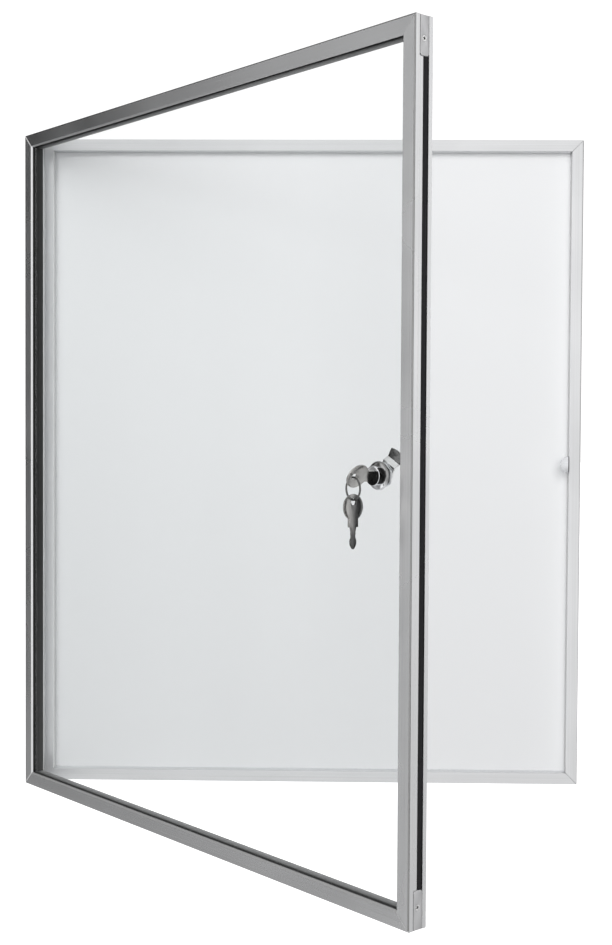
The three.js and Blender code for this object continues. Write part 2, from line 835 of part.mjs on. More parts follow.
// Keys: a round bow with a hole, a shoulder, and a blade with cuts on both edges and a point
const keyShoulderEnd = bowLength + shoulderLength;

function keySolid() {
  const half = shoulderWidth / 2;
  const meet = Math.asin(half / bowRadius);
  const outline = new THREE.Shape();
  outline.absarc(bowRadius, 0, bowRadius, meet, 4 * quarter - meet, false);
  outline.lineTo(keyShoulderEnd, -half);
  for (const [along, wide] of bladeShares) {
    outline.lineTo(keyShoulderEnd + along * bladeLength, (-wide * bladeWidth) / 2);
  }
  for (const [along, wide] of [...bladeShares].reverse()) {
    outline.lineTo(keyShoulderEnd + along * bladeLength, (wide * bladeWidth) / 2);
  }
  outline.lineTo(keyShoulderEnd, half);
  const eye = new THREE.Path();
  eye.absarc(keyHoleInset, 0, keyHoleRadius, 0, 4 * quarter, true);
  outline.holes.push(eye);
  let blank = solidOf(extrude(outline, keyThickness, smallSteps).translate(0, 0, -keyThickness / 2));
  for (const face of [1, -1]) {
    const grooveLength = bladeLength + cutOver;
    const groove = new THREE.BoxGeometry(grooveLength, bladeGrooveWidth, 2 * bladeGrooveDepth);
    const grooveMiddle = keyShoulderEnd + grooveLength / 2;
    groove.translate(grooveMiddle, face * bladeGrooveShift, (face * keyThickness) / 2);
    blank = blank.subtract(solidOf(groove));
  }
  return blank;
}

const keyTip = headFront - fit;
const inLock = alongAxes(geometryOf(keySolid()), alongY, alongZ, alongX);
inLock.translate(0, keyTip - keyShoulderEnd, 0);
addPiece(plugGroup, "key", inLock, nickel);

// Ring through the key's hole, hanging straight down, and the spare key on it
const ringMean = ringRadius - ringWire / 2;
const ringY = keyTip - keyShoulderEnd + keyHoleInset - ringShift;
const ringZ = -ringDrop - ringMean;
const ring = new THREE.TorusGeometry(ringMean, ringWire / 2, wireSteps, ringSteps).rotateX(quarter);
const ringPiece = addPiece(lockGroup, "key_ring", ring, chrome);
ringPiece.position.set(0, ringY, ringZ);
ringPiece.rotation.z = -ringTurnDegrees * degrees;

const spareHole = ringZ - ringMean - (keyHoleRadius - ringWire / 2 - fit);
const hanging = alongAxes(geometryOf(keySolid()), downZ, alongY, alongX);
addPiece(lockGroup, "spare_key", hanging, nickel).position.set(0, ringY, spareHole + keyHoleInset);

// Keeper: a folded plate on the right stile, with a half-round tongue that the cam passes behind
function keeperSolid() {
  const wall = boardWidth - caseFace - fit;
  const legIn = lockX + camLength + keeperTipClear;
  const legOut = legIn + keeperSheet;
  const tongueRear = -doorGap - doorDepth + camFront + camSet - keeperCamClear;
  const tongueFront = tongueRear - keeperSheet;
  const strip = [
    [legIn, tongueFront],
    [legOut, tongueFront],
    [legOut, -keeperJog],
    [wall, keeperJog],
    [wall, keeperFootRear],
    [wall - keeperSheet, keeperFootRear],
    [wall - keeperSheet, keeperFootFront],
    [legIn, -keeperJog],
  ];
  const folded = extrude(strip, 2 * keeperLegHalf).translate(0, 0, -keeperLegHalf);
  const half = new THREE.Shape();
  half.absarc(legOut, 0, keeperRadius, quarter, 3 * quarter, false);
  const tongue = layFlat(extrude(half, keeperSheet, smallSteps), keeperSheet);
  return solidOf(folded).add(solidOf(tongue.translate(0, tongueFront, 0)));
}
addPiece(caseGroup, "keeper", geometryOf(keeperSolid()), steel);

const noticeBoard = new THREE.Group();
noticeBoard.name = "lockable_notice_board";
noticeBoard.add(caseGroup, doorGroup);

export default noticeBoard;
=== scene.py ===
import math
from contextlib import contextmanager

import bmesh
import bpy
import numpy as np
from mathutils import Matrix, Vector


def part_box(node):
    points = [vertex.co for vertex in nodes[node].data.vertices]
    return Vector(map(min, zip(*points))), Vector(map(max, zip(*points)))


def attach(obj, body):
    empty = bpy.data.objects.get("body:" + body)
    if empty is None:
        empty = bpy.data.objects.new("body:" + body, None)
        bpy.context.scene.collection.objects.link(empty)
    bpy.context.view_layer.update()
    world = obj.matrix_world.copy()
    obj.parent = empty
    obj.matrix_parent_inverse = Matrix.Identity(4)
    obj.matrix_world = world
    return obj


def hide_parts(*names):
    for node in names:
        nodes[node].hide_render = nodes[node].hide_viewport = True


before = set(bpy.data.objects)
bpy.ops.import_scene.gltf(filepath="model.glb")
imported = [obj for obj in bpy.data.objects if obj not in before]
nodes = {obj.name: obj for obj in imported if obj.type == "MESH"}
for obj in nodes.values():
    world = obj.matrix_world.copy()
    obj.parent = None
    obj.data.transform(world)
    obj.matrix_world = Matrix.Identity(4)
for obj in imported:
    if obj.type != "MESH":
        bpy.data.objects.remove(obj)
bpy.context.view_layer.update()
scene = bpy.context.scene
mm = 0.001
print("frame loaded:", len(nodes), "nodes")

# The board's own places, in millimetres as in the drawing of the part
board = {
    "width": 670, "height": 800, "caseDepth": 24,
    "hingeX": -338.3, "hingeY": -24.5, "hingeStand": 3.3, "hingeDepth": 22.5,
    "openDegrees": 48, "lockX": 625.5, "camDegrees": 30,
}
openAngle = math.radians(board["openDegrees"])
camAngle = math.radians(board["camDegrees"])
toMetres = Matrix.Diagonal((mm, mm, mm, 1))


# Door coordinates (from the hinge stile's side, from the front face, up) to the frame's metres
def doorMatrix():
    turn = Matrix.Rotation(-openAngle, 4, "Z")
    hinge = Matrix.Translation((board["hingeX"], board["hingeY"], 0))
    leaf = Matrix.Translation((board["hingeStand"], -board["hingeDepth"], 0))
    return toMetres @ hinge @ turn @ leaf


# Case coordinates (from the left side, from the front face, up) to the frame's metres
def caseMatrix():
    return toMetres @ Matrix.Translation((-board["width"] / 2, -board["caseDepth"], 0))


toDoor = doorMatrix()
toCase = caseMatrix()
toLock = toDoor @ Matrix.Translation((board["lockX"], 0, 0))
toPlug = toLock @ Matrix.Rotation(camAngle, 4, "Y")


# The keys, lengths from the bow's outer rim, and the ring they hang on
key = {
    "thickness": 2.0, "ease": 0.28, "easeSteps": 3, "bowRadius": 11.6, "bowLength": 22.8, "bowSteps": 72,
    "eye": 3.0, "eyeInset": 7.0, "eyeSteps": 40, "shoulderWidth": 11, "shoulderLength": 6.5,
    "shoulderDepth": -5.3, "bladeWidth": 7, "bladeLength": 19.4, "rimWidth": 2.6, "rimDepth": 0.3,
    "rimEnd": 1.5, "merge": 1e-3, "longest": 1.6, "cuts": 2, "smoothDegrees": 30,
}
ring = {
    "radius": 10.0, "wire": 1.0, "drop": 0.8, "shift": 0.4, "turnDegrees": 5, "turns": 1.9,
    "startAngle": 0.8, "pitchShare": 0.98, "wideShare": 0.9, "thickShare": 0.48, "slack": 0.3,
    "steps": 150, "round": 14, "smoothDegrees": 50,
}
keyRimAt = key["shoulderDepth"] - key["bowLength"] - key["shoulderLength"]
ringDepth = keyRimAt + key["eyeInset"] - ring["shift"]


# Camera and stage
camera = {
    "place": (0.02489, -1.72906, 0.03913), "yaw": -0.01787, "pitch": -0.02991, "roll": 0.00553,
    "focalPixels": 1369.4, "longSide": 945, "sensor": 36, "clip": (0.05, 60),
}


def makeCamera():
    data = bpy.data.cameras.new("camera")
    data.sensor_width = camera["sensor"]
    data.lens = camera["focalPixels"] / camera["longSide"] * camera["sensor"]
    data.clip_start, data.clip_end = camera["clip"]
    ob = bpy.data.objects.new("camera", data)
    yaw, pitch, roll = camera["yaw"], camera["pitch"], camera["roll"]
    ahead = Vector((math.sin(yaw) * math.cos(pitch), math.cos(yaw) * math.cos(pitch), math.sin(pitch)))
    right = Vector((math.cos(yaw), -math.sin(yaw), 0))
    up = right.cross(ahead)
    tiltedRight = right * math.cos(roll) + up * math.sin(roll)
    tiltedUp = up * math.cos(roll) - right * math.sin(roll)
    turn = Matrix((tiltedRight, tiltedUp, -ahead)).transposed().to_4x4()
    ob.matrix_world = Matrix.Translation(camera["place"]) @ turn
    scene.collection.objects.link(ob)
    scene.camera = ob


makeCamera()

studio = {
    "floorLevel": -1.25, "floorHalf": 60, "floorGlow": 0.9, "floorTones": (0.9, 0.92),
    "floorClouds": 3.0, "floorRoughness": 0.7, "white": 1.12,
    "softShare": 0.56, "peak": 1.7, "overhead": 0.75, "rise": (-0.3, -0.04), "lift": (0.45, 0.9),
}
lights = {
    "keyLight": {"place": (0.15, -3.4, 1.05), "aim": (-0.05, -0.1, 0), "size": 2.4, "power": 68},
    "fillLight": {"place": (-0.95, -1.7, 0.6), "aim": (-0.25, 0, 0.2), "size": 0.8, "power": 9},
}


# World: a plain white room. What the lens sees is white, and the metal mirrors a studio whose
# brightness changes with the compass bearing: a lit front, dark flags to the left and the right.
# Each bearing in degrees has a brightness above eye level and one below, and rise is the band of
# heights in which the lower turns into the upper.
studioBearings = (
    (-180, 0.9, 0.8), (-160, 0.8, 0.7), (-148, 0.4, 0.4), (-130, 0.0, 0.2), (-112, 0.0, 0.3),
    (-105, 0.0, 0.32), (-102, 0.16, 0.38), (-99, 0.66, 0.42), (-97, 0.7, 0.42), (-94.5, 0.25, 0.34),
    (-90, 0.05, 0.22), (-86, 1.4, 1.05), (-74, 1.5, 1.1), (-55, 1.05, 0.9), (-30, 1.06, 0.88),
    (0, 1.1, 0.88), (15, 1.16, 0.86), (33, 0.95, 0.6), (40, 0.06, 0.05), (46, 0.0, 0.0),
    (74, 0.0, 0.0), (77, 1.02, 0.74), (108, 1.02, 0.72), (150, 0.95, 0.85), (180, 0.9, 0.8),
)


# A socket takes another socket's link or a plain value
def setSocket(tree, socket, value):
    if isinstance(value, bpy.types.NodeSocket):
        tree.links.new(value, socket)
    else:
        socket.default_value = value


def mathNode(tree, operation, *values):
    node = tree.nodes.new("ShaderNodeMath")
    node.operation = operation
    for socket, value in zip(node.inputs, values):
        setSocket(tree, socket, value)
    return node.outputs[0]


def rangeNode(tree, value, fromLow, fromHigh, low=0, high=1, kind="LINEAR"):
    node = tree.nodes.new("ShaderNodeMapRange")
    node.interpolation_type = kind
    limits = (("From Min", fromLow), ("From Max", fromHigh), ("To Min", low), ("To Max", high))
    for label, limit in limits:
        node.inputs[label].default_value = limit
    tree.links.new(value, node.inputs["Value"])
    return node.outputs["Result"]


# Each colour is three numbers or a socket
def mixNode(tree, share, a, b):
    node = tree.nodes.new("ShaderNodeMix")
    node.data_type = "RGBA"
    tree.links.new(share, node.inputs["Factor"])
    for socket, value in ((node.inputs[6], a), (node.inputs[7], b)):
        setSocket(tree, socket, (*value, 1) if isinstance(value, tuple) else value)
    return node.outputs[2]


def noiseNode(tree, vector, scale, detail=2.0, distortion=0.0):
    node = tree.nodes.new("ShaderNodeTexNoise")
    node.inputs["Detail"].default_value = detail
    node.inputs["Distortion"].default_value = distortion
    setSocket(tree, node.inputs["Scale"], scale)
    tree.links.new(vector, node.inputs["Vector"])
    return node.outputs["Fac"]


def grey(value):
    return (value, value, value)


noiseRange = (0.3, 0.7)  # where most of a noise's values lie


def makeWorld():
    world = bpy.data.worlds.new("studio")
    scene.world = world
    world.use_nodes = True
    tree = world.node_tree
    tree.nodes.clear()
    add, link = tree.nodes.new, tree.links.new
    split = add("ShaderNodeSeparateXYZ")
    link(add("ShaderNodeTexCoord").outputs["Generated"], split.inputs[0])
    height = split.outputs["Z"]
    front = mathNode(tree, "MULTIPLY", split.outputs["Y"], -1)
    bearing = mathNode(tree, "ARCTAN2", split.outputs["X"], front)
    share = rangeNode(tree, bearing, -math.pi, math.pi)
    levels = []
    for column in (2, 1):
        ramp = add("ShaderNodeValToRGB")
        marks = ramp.color_ramp.elements
        while len(marks) > 1:
            marks.remove(marks[-1])
        for index, row in enumerate(studioBearings):
            place = (row[0] + 180) / 360
            mark = marks[0] if index == 0 else marks.new(place)
            mark.position = place
            mark.color = (*grey(row[column] / studio["peak"]), 1)
        link(share, ramp.inputs["Fac"])
        levels.append(ramp.outputs["Color"])
    rise = rangeNode(tree, height, *studio["rise"], kind="SMOOTHSTEP")
    walls = mixNode(tree, rise, *levels)
    # High up and low down, past lift, the room is evenly lit, whatever the bearing
    lift = rangeNode(tree, mathNode(tree, "ABSOLUTE", height), *studio["lift"], kind="SMOOTHSTEP")
    room = mixNode(tree, lift, walls, grey(studio["overhead"] / studio["peak"]))
    # Matt surfaces get less of the room and more of the lamps
    path = add("ShaderNodeLightPath")
    softPeak = studio["peak"] * studio["softShare"]
    strength = rangeNode(tree, path.outputs["Is Diffuse Ray"], 0, 1, studio["peak"], softPeak)
    lit = add("ShaderNodeBackground")
    link(strength, lit.inputs["Strength"])
    link(room, lit.inputs["Color"])
    plain = add("ShaderNodeBackground")
    plain.inputs["Color"].default_value = (1, 1, 1, 1)
    plain.inputs["Strength"].default_value = studio["white"]
    mix = add("ShaderNodeMixShader")
    link(path.outputs["Is Camera Ray"], mix.inputs["Fac"])
    link(lit.outputs[0], mix.inputs[1])
    link(plain.outputs[0], mix.inputs[2])
    link(mix.outputs[0], add("ShaderNodeOutputWorld").inputs["Surface"])


def addLight(name, place, aim, size, power):
    data = bpy.data.lights.new(name, "AREA")
    data.size = size
    data.energy = power
    ob = bpy.data.objects.new(name, data)
    ob.location = place
    ob.rotation_mode = "QUATERNION"
    ob.rotation_quaternion = (Vector(aim) - Vector(place)).to_track_quat("-Z", "Y")
    ob.visible_glossy = False
    scene.collection.objects.link(ob)


makeWorld()
for name, values in lights.items():
    addLight(name, **values)
scene.view_settings.view_transform = "Standard"
print("camera, world and lights made")


# What a material and a node group share while they are built
class NodeMaker:
    def add(self, kind):
        return self.tree.nodes.new(kind)

    def link(self, a, b):
        self.tree.links.new(a, b)

    def math(self, operation, *values):
        return mathNode(self.tree, operation, *values)


# A material in the making, on Object coordinates
class Shader(NodeMaker):
    def __init__(self, name):
        self.material = bpy.data.materials.new(name)
        self.material.use_nodes = True
        self.tree = self.material.node_tree
        self.tree.nodes.clear()
        self.out = self.add("ShaderNodeOutputMaterial")
        self.place = self.add("ShaderNodeTexCoord").outputs["Object"]

    def turned(self, turn):
        node = self.add("ShaderNodeMapping")
        node.inputs["Rotation"].default_value = turn
        self.link(self.place, node.inputs["Vector"])
        return node.outputs[0]

    def fill(self, node, values):
        for label, value in values.items():
            setSocket(self.tree, node.inputs[label.replace("_", " ")], value)
        return node.outputs

    # A group reads the piece's own place unless it is given another
    def group(self, tree, **values):
        node = self.add("ShaderNodeGroup")
        node.node_tree = tree
        return self.fill(node, {"Vector": self.place, **values})

    def principled(self, **values):
        return self.fill(self.add("ShaderNodeBsdfPrincipled"), values)[0]

    # The second colour, or the grey of a number, laid over the first by the share
    def mix(self, share, base, over):
        return mixNode(self.tree, share, base, grey(over) if isinstance(over, float) else over)

    # The middle range of a noise spread over two values
    def spread(self, noise, low, high):
        return rangeNode(self.tree, noise, *noiseRange, low, high)

    # One value where a mask is off and another where it is on
    def fade(self, mask, off, on):
        return rangeNode(self.tree, mask, 0, 1, off, on)

    def bump(self, height, strength, distance, normal=None):
        node = self.add("ShaderNodeBump")
        node.inputs["Strength"].default_value = strength
        node.inputs["Distance"].default_value = distance
        self.link(height, node.inputs["Height"])
        if normal is not None:
            self.link(normal, node.inputs["Normal"])
        return node.outputs[0]

    def finish(self, surface):
        self.link(surface, self.out.inputs["Surface"])
        return self.material

    def finishPlain(self, **values):
        return self.finish(self.principled(**values))


# A shader node group in the making: a place and numbers go in, masks and perhaps a normal come out
class Group(NodeMaker):
    def __init__(self, name, numbers, masks, normal=None):
        self.tree = bpy.data.node_groups.new(name, "ShaderNodeTree")
        socket = self.tree.interface.new_socket
        socket(name="Vector", in_out="INPUT", socket_type="NodeSocketVector")
        for label, value in numbers.items():
            socket(name=label, in_out="INPUT", socket_type="NodeSocketFloat").default_value = value
        for label in masks:
            socket(name=label, in_out="OUTPUT", socket_type="NodeSocketFloat")
        if normal:
            socket(name=normal, in_out="OUTPUT", socket_type="NodeSocketVector")
        self.given = self.add("NodeGroupInput").outputs
        self.results = self.add("NodeGroupOutput").inputs

    def above(self, a, b):
        return self.math("GREATER_THAN", a, b)

    def below(self, a, b):
        return self.math("LESS_THAN", a, b)

    def outside(self, mask):
        return self.math("SUBTRACT", 1.0, mask)

    def product(self, first, *others):
        for other in others:
            first = self.math("MULTIPLY", first, other)
        return first

    def between(self, value, fromLow, fromHigh, low=0, high=1):
        return rangeNode(self.tree, value, fromLow, fromHigh, low, high)

    def vectorMath(self, operation, a, b):
        node = self.add("ShaderNodeVectorMath")
        node.operation = operation
        self.link(a, node.inputs[0])
        self.link(b, node.inputs[1])
        return node.outputs

    def split(self, vector):
        node = self.add("ShaderNodeSeparateXYZ")
        self.link(vector, node.inputs[0])
        return node.outputs

    def put(self, label, value):
        self.link(value, self.results[label])


# Drawn lines: noise stretched along X, in two widths, for extruded or brushed metal
def makeDrawnLines():
    group = Group("drawnLines", {"Fine": 900.0, "Broad": 120.0, "Length": 3.0}, ("Lines", "Bands"))
    for label, across in (("Lines", "Fine"), ("Bands", "Broad")):
        scale = group.add("ShaderNodeCombineXYZ")
        for axis, source in (("X", "Length"), ("Y", across), ("Z", across)):
            group.link(group.given[source], scale.inputs[axis])
        stretched = group.vectorMath("MULTIPLY", group.given["Vector"], scale.outputs[0])["Vector"]
        group.put(label, noiseNode(group.tree, stretched, 1.0, 1.0))
    return group.tree


wearMarks = {"radius": 0.0005, "samples": 4, "gain": 6.0, "patches": 60.0, "least": 0.35}


# Edge wear: how far a rounded normal leans from the true one, so it marks edges only
def makeEdgeWear():
    group = Group("edgeWear", {"Amount": 1.0}, ("Edge",), "Normal")
    bevel = group.add("ShaderNodeBevel")
    bevel.samples = wearMarks["samples"]
    bevel.inputs["Radius"].default_value = wearMarks["radius"]
    normal = group.add("ShaderNodeNewGeometry").outputs["Normal"]
    agree = group.vectorMath("DOT_PRODUCT", bevel.outputs[0], normal)["Value"]
    noise = noiseNode(group.tree, group.given["Vector"], wearMarks["patches"])
    patchy = group.math("ADD", noise, wearMarks["least"])
    worn = group.product(group.outside(agree), wearMarks["gain"], patchy, group.given["Amount"])
    clamp = group.add("ShaderNodeClamp")
    group.link(worn, clamp.inputs["Value"])
    group.put("Edge", clamp.outputs[0])
    group.put("Normal", bevel.outputs[0])
    return group.tree


smudgeMarks = {"detail": 4.0, "distortion": 0.6, "dustScale": 1400.0, "dustRange": (0.68, 0.8)}


# Smudges: soft cloudy patches with fine specks of dust in them
def makeSmudges():
    group = Group("smudges", {"Size": 8.0}, ("Cloud", "Dust"))
    vector, size = group.given["Vector"], group.given["Size"]
    cloud = noiseNode(group.tree, vector, size, smudgeMarks["detail"], smudgeMarks["distortion"])
    group.put("Cloud", cloud)
    specks = noiseNode(group.tree, vector, smudgeMarks["dustScale"], 0.0)
    group.put("Dust", group.between(specks, *smudgeMarks["dustRange"]))
    return group.tree


# The open door's own coordinates in millimetres: across from the hinge side, depth, and up
def doorPlace(group):
    place = group.add("ShaderNodeMapping")
    place.inputs["Location"].default_value = toDoor.inverted().translation
    place.inputs["Rotation"].default_value = (0, 0, openAngle)
    place.inputs["Scale"].default_value = (1 / mm, 1 / mm, 1 / mm)
    group.link(group.given["Vector"], place.inputs["Vector"])
    return group.split(place.outputs[0])


doorMarks = {
    "wallInset": 15.6, "rearRange": (9.0, 17.0), "lineDepth": 16.0, "bevelInset": 14.3, "bevelDepth": 1.8,
    "arrisInset": 1.4, "arrisDepth": 0.9, "bottomEdge": 1.5, "mitreHalf": 0.75,
}


# Places on the door's frame where shade and light are painted, by the distance to its outer edge
# (inset) and the depth behind its front face: the walls inside the frame (painted shade), their rear
# part and rear line (painted light), the lower half, where the walls are painted lighter, the inner front
# bevel in the lower half (sill, painted shade), the outer front arris except at the bottom (a painted
# dark line), and the hinge mitres (a painted highlight)
def makeDoorMasks():
    group = Group("doorMasks", {}, ("Wall", "Rear", "Line", "Sill", "Arris", "Mitre", "Below"))
    above, below, product, put = group.above, group.below, group.product, group.put
    across, depth, up = doorPlace(group)
    fromSide = group.math("MINIMUM", across, group.math("SUBTRACT", board["width"], across))
    fromEnd = group.math("SUBTRACT", board["height"] / 2, group.math("ABSOLUTE", up))
    inset = group.math("MINIMUM", fromSide, fromEnd)
    behind = above(depth, doorMarks["bevelDepth"])
    put("Wall", product(above(inset, doorMarks["wallInset"]), behind))
    put("Rear", group.between(depth, *doorMarks["rearRange"]))
    put("Line", above(depth, doorMarks["lineDepth"]))
    lower = below(up, 0.0)
    put("Below", lower)
    inner = above(inset, doorMarks["bevelInset"])
    put("Sill", product(inner, group.outside(behind), lower))
    nearFront = below(depth, doorMarks["arrisDepth"])
    onBottom = below(group.math("ADD", up, board["height"] / 2), doorMarks["bottomEdge"])
    outer = below(inset, doorMarks["arrisInset"])
    put("Arris", product(outer, nearFront, group.outside(onBottom)))
    offMitre = group.math("ABSOLUTE", group.math("SUBTRACT", across, fromEnd))
    put("Mitre", product(below(offMitre, doorMarks["mitreHalf"]), nearFront))
    return group.tree


lockMarks = {
    "faceReach": 8.6, "faceDepth": -4.3, "faceTop": 4.2, "bandReach": 8.7, "bandDepth": -4.4,
    "bandHalf": 7.2, "rosetteRange": (-9.0, -4.0), "recess": 0.45, "plateReach": 16.1,
    "hangingRange": (-16.0, -19.0), "bladeRange": (-40.0, -52.0), "besideRange": (-4.0, 2.5),
    "jointDepth": 6.6,
}


# Places about the lock's axis where shade is painted: its face and the painted dark band of its head,
# the rosette's upper part, the recess in the blocks' screws, the cam's far plate, the half of the spare
# key nearer to the pane and the joint beside the blocks on the free edge
def makeLockMasks():
    group = Group("lockMasks", {}, ("Head", "Rosette", "Recess", "Plate", "Spare", "Joint"))
    above, below, product, put = group.above, group.below, group.product, group.put
    across, depth, up = doorPlace(group)
    right = group.math("SUBTRACT", across, board["lockX"])
    reach = group.math("SQRT", group.math("ADD", product(right, right), product(up, up)))
    face = product(below(reach, lockMarks["faceReach"]), below(depth, lockMarks["faceDepth"]),
                   below(up, lockMarks["faceTop"]))
    level = below(group.math("ABSOLUTE", up), lockMarks["bandHalf"])
    band = product(above(reach, lockMarks["bandReach"]), above(depth, lockMarks["bandDepth"]),
                   above(right, 0.0), level)
    put("Head", group.math("MAXIMUM", face, band))
    put("Rosette", group.between(up, *lockMarks["rosetteRange"]))
    put("Recess", below(across, board["width"] - lockMarks["recess"]))
    onCam = group.math("ADD", product(right, math.sin(camAngle)), product(up, math.cos(camAngle)))
    put("Plate", above(onCam, lockMarks["plateReach"]))
    beside = group.between(depth, *(ringDepth + offset for offset in lockMarks["besideRange"]))
    nearer = group.math("MAXIMUM", beside, group.between(up, *lockMarks["bladeRange"]))
    put("Spare", product(group.between(up, *lockMarks["hangingRange"]), nearer))
    put("Joint", below(depth, lockMarks["jointDepth"]))
    return group.tree


caseMarks = {"wallInset": 4 * mm, "edgeInset": 1.5 * mm, "sideways": 0.6, "fadeRange": (-0.3, 0.1, 0, 0.7)}


# Places on the case's stiles where shade and light are painted: the wall inside the right stile, which
# does not face the viewer (painted shade), the right stile's outer edge (painted shade, none at the
# bottom and stronger towards the top), and the wall inside the left stile, which lies in the light
# (painted light)
def makeCaseMask():
    group = Group("caseMask", {}, ("Wall", "Edge", "Left"))
    x, _, up = group.split(group.given["Vector"])
    facing = group.split(group.add("ShaderNodeNewGeometry").outputs["True Normal"])
    fromSide = group.math("SUBTRACT", board["width"] / 2 * mm, x)
    toRight = group.above(x, 0.0)
    turned = group.below(group.math("ABSOLUTE", facing["Y"]), caseMarks["sideways"])
    group.put("Wall", group.product(group.above(fromSide, caseMarks["wallInset"]), toRight, turned))
    fade = group.between(up, *caseMarks["fadeRange"])
    group.put("Edge", group.product(group.below(fromSide, caseMarks["edgeInset"]), fade))
    inward = group.above(facing["X"], caseMarks["sideways"])
    group.put("Left", group.product(group.outside(toRight), inward))
    return group.tree


drawnLines, edgeWear, smudges = makeDrawnLines(), makeEdgeWear(), makeSmudges()
doorMasks, lockMasks, caseMask = makeDoorMasks(), makeLockMasks(), makeCaseMask()

# The case and door tones here are painted: shade on the case's right outer edge, light on the left stile's
# inner wall, a dark line along the door's outer arris and a highlight on its hinge mitres
metal = {
    "fineToBroad": 9, "streak": 0.15, "streakTone": 0.45, "wornGain": 1.14, "wornMost": 0.97,
    "roughRange": (0.88, 1.16), "relief": 0.00012, "caseEdgeShade": 0.4, "caseLeftLight": 0.95,
    "arris": 0.34, "mitre": 0.95, "wallRoughness": 0.55,
}


# The case's stiles with their painted tones and how metallic they are: painted shade on the right
# stile's inner wall and outer edge, painted light on the left one's inner wall, which is matt
def shadeCase(shader, base, wallShade):
    masks = shader.group(caseMask)
    # Painted shade on the right stile's inner wall
    base = shader.mix(masks["Wall"], base, wallShade)
    # Painted shade on the right stile's outer edge, none at the bottom and stronger towards the top
    base = shader.mix(masks["Edge"], base, metal["caseEdgeShade"])
    # Painted light on the left stile's inner wall
    base = shader.mix(masks["Left"], base, metal["caseLeftLight"])
    return base, shader.fade(masks["Left"], 1.0, 0.0)


# The door's bars with their painted shade and light, how metallic they are and how rough: a painted
# dark line on the outer arris, painted shade on the walls inside the frame, lighter low down and towards
# the rear, with a painted highlight on the rear line, a painted highlight on the hinge mitres and painted
# shade on the sill. The walls inside the frame, the mitres and the sill are matt
def shadeDoor(shader, base, rough, wall):
    masks = shader.group(doorMasks)
    # Painted shade: a dark line along the outer front arris
    base = shader.mix(masks["Arris"], base, metal["arris"])
    # Painted shade on the walls inside the frame, lighter low down, towards the rear and on the rear line
    tone = shader.mix(masks["Below"], grey(wall["front"]), wall["low"])
    tone = shader.mix(masks["Rear"], tone, wall["rear"])
    tone = shader.mix(masks["Line"], tone, wall["line"])
    base = shader.mix(masks["Wall"], base, tone)
    # Painted highlight on the hinge mitres
    base = shader.mix(masks["Mitre"], base, metal["mitre"])
    matt = shader.math("MAXIMUM", masks["Wall"], masks["Mitre"])
    # Painted shade on the sill, the inner front bevel in the lower half
    if wall["sill"]:
        base = shader.mix(masks["Sill"], base, wall["sill"])
        matt = shader.math("MAXIMUM", matt, masks["Sill"])
    smooth = shader.math("MULTIPLY", rough, shader.fade(masks["Wall"], 1.0, 0.0))
    coarse = shader.fade(masks["Wall"], 0.0, metal["wallRoughness"])
    return base, shader.fade(matt, 1.0, wall["metallic"]), shader.math("ADD", smooth, coarse)


# Metal whose lines run along X after the given turn. Wall holds the painted shade and light on the door's
# inner walls (at the front, low at the front, at the rear, the rear line, the bevel in the lower half) and
# how metallic they are. Shades are places about the lock and the tones of the shade and dark reflections
# painted there, and the case's wall tone is the painted shade on the wall inside the case's right stile,
# which brings the painted shade on that stile's outer edge and the painted light inside the left stile.
def makeMetal(name, light, dark, roughness, turn=(0, 0, 0), fine=900.0, length=3.0, lines=0.1,
              wear=0.6, clouds=8.0, wall=None, caseWallShade=None, shades=()):
    shader = Shader(name)
    broad = fine / metal["fineToBroad"]
    drawn = shader.group(drawnLines, Vector=shader.turned(turn), Fine=fine, Broad=broad, Length=length)
    smudge = shader.group(smudges, Size=clouds)
    edge = shader.group(edgeWear, Amount=wear)
    base = shader.mix(shader.spread(drawn["Bands"], 0, 1), dark, light)
    streaks = shader.spread(drawn["Lines"], metal["streak"], 0)
    base = shader.mix(streaks, base, metal["streakTone"])
    bright = tuple(min(c * metal["wornGain"], metal["wornMost"]) for c in light)
    base = shader.mix(edge["Edge"], base, bright)
    rough = shader.spread(smudge["Cloud"], *(roughness * share for share in metal["roughRange"]))
    normal = shader.bump(drawn["Lines"], lines, metal["relief"], edge["Normal"])
    metallic = 1.0
    for place, tone in shades:
        base = shader.mix(shader.group(lockMasks)[place], base, tone)
    if caseWallShade:
        base, metallic = shadeCase(shader, base, caseWallShade)
    if wall:
        base, metallic, rough = shadeDoor(shader, base, rough, wall)
    return shader.finishPlain(Base_Color=base, Roughness=rough, Metallic=metallic, Normal=normal)


upright = (0, math.pi / 2, 0)  # brings the Z axis to X
along = (0, 0, openAngle)  # brings the open door's own direction to X

anodisedLight, anodisedDark = (0.80, 0.805, 0.815), (0.765, 0.77, 0.78)
# Painted shade and light on the door's inner walls: dark at the front, lighter low down and towards the
# rear, a painted highlight on the rear line, and painted shade on the rails' sill
railWallShading = {"front": 0.07, "low": 0.13, "rear": 0.32, "line": 0.45, "sill": 0.3, "metallic": 0.0}
stileWallShading = {"front": 0.03, "low": 0.03, "rear": 0.05, "line": 0.95, "sill": None, "metallic": 0.3}
anodised = {
    "caseRail": makeMetal("anodisedCaseRail", anodisedLight, anodisedDark, 0.38),
    "caseStile": makeMetal("anodisedCaseStile", anodisedLight, anodisedDark, 0.38, upright, caseWallShade=0.58),
    "doorRail": makeMetal("anodisedDoorRail", anodisedLight, anodisedDark, 0.23, along, wall=railWallShading),
    "doorStile": makeMetal("anodisedDoorStile", anodisedLight, anodisedDark, 0.27, upright, wall=stileWallShading),
}
chromeLight, chromeDark = (0.82, 0.83, 0.85), (0.79, 0.8, 0.82)
pressed = {"fine": 500.0, "length": 160.0, "lines": 0.04, "clouds": 90.0}
polished = {"fine": 200.0, "length": 200.0, "lines": 0.012, "wear": 0.3, "clouds": 120.0}
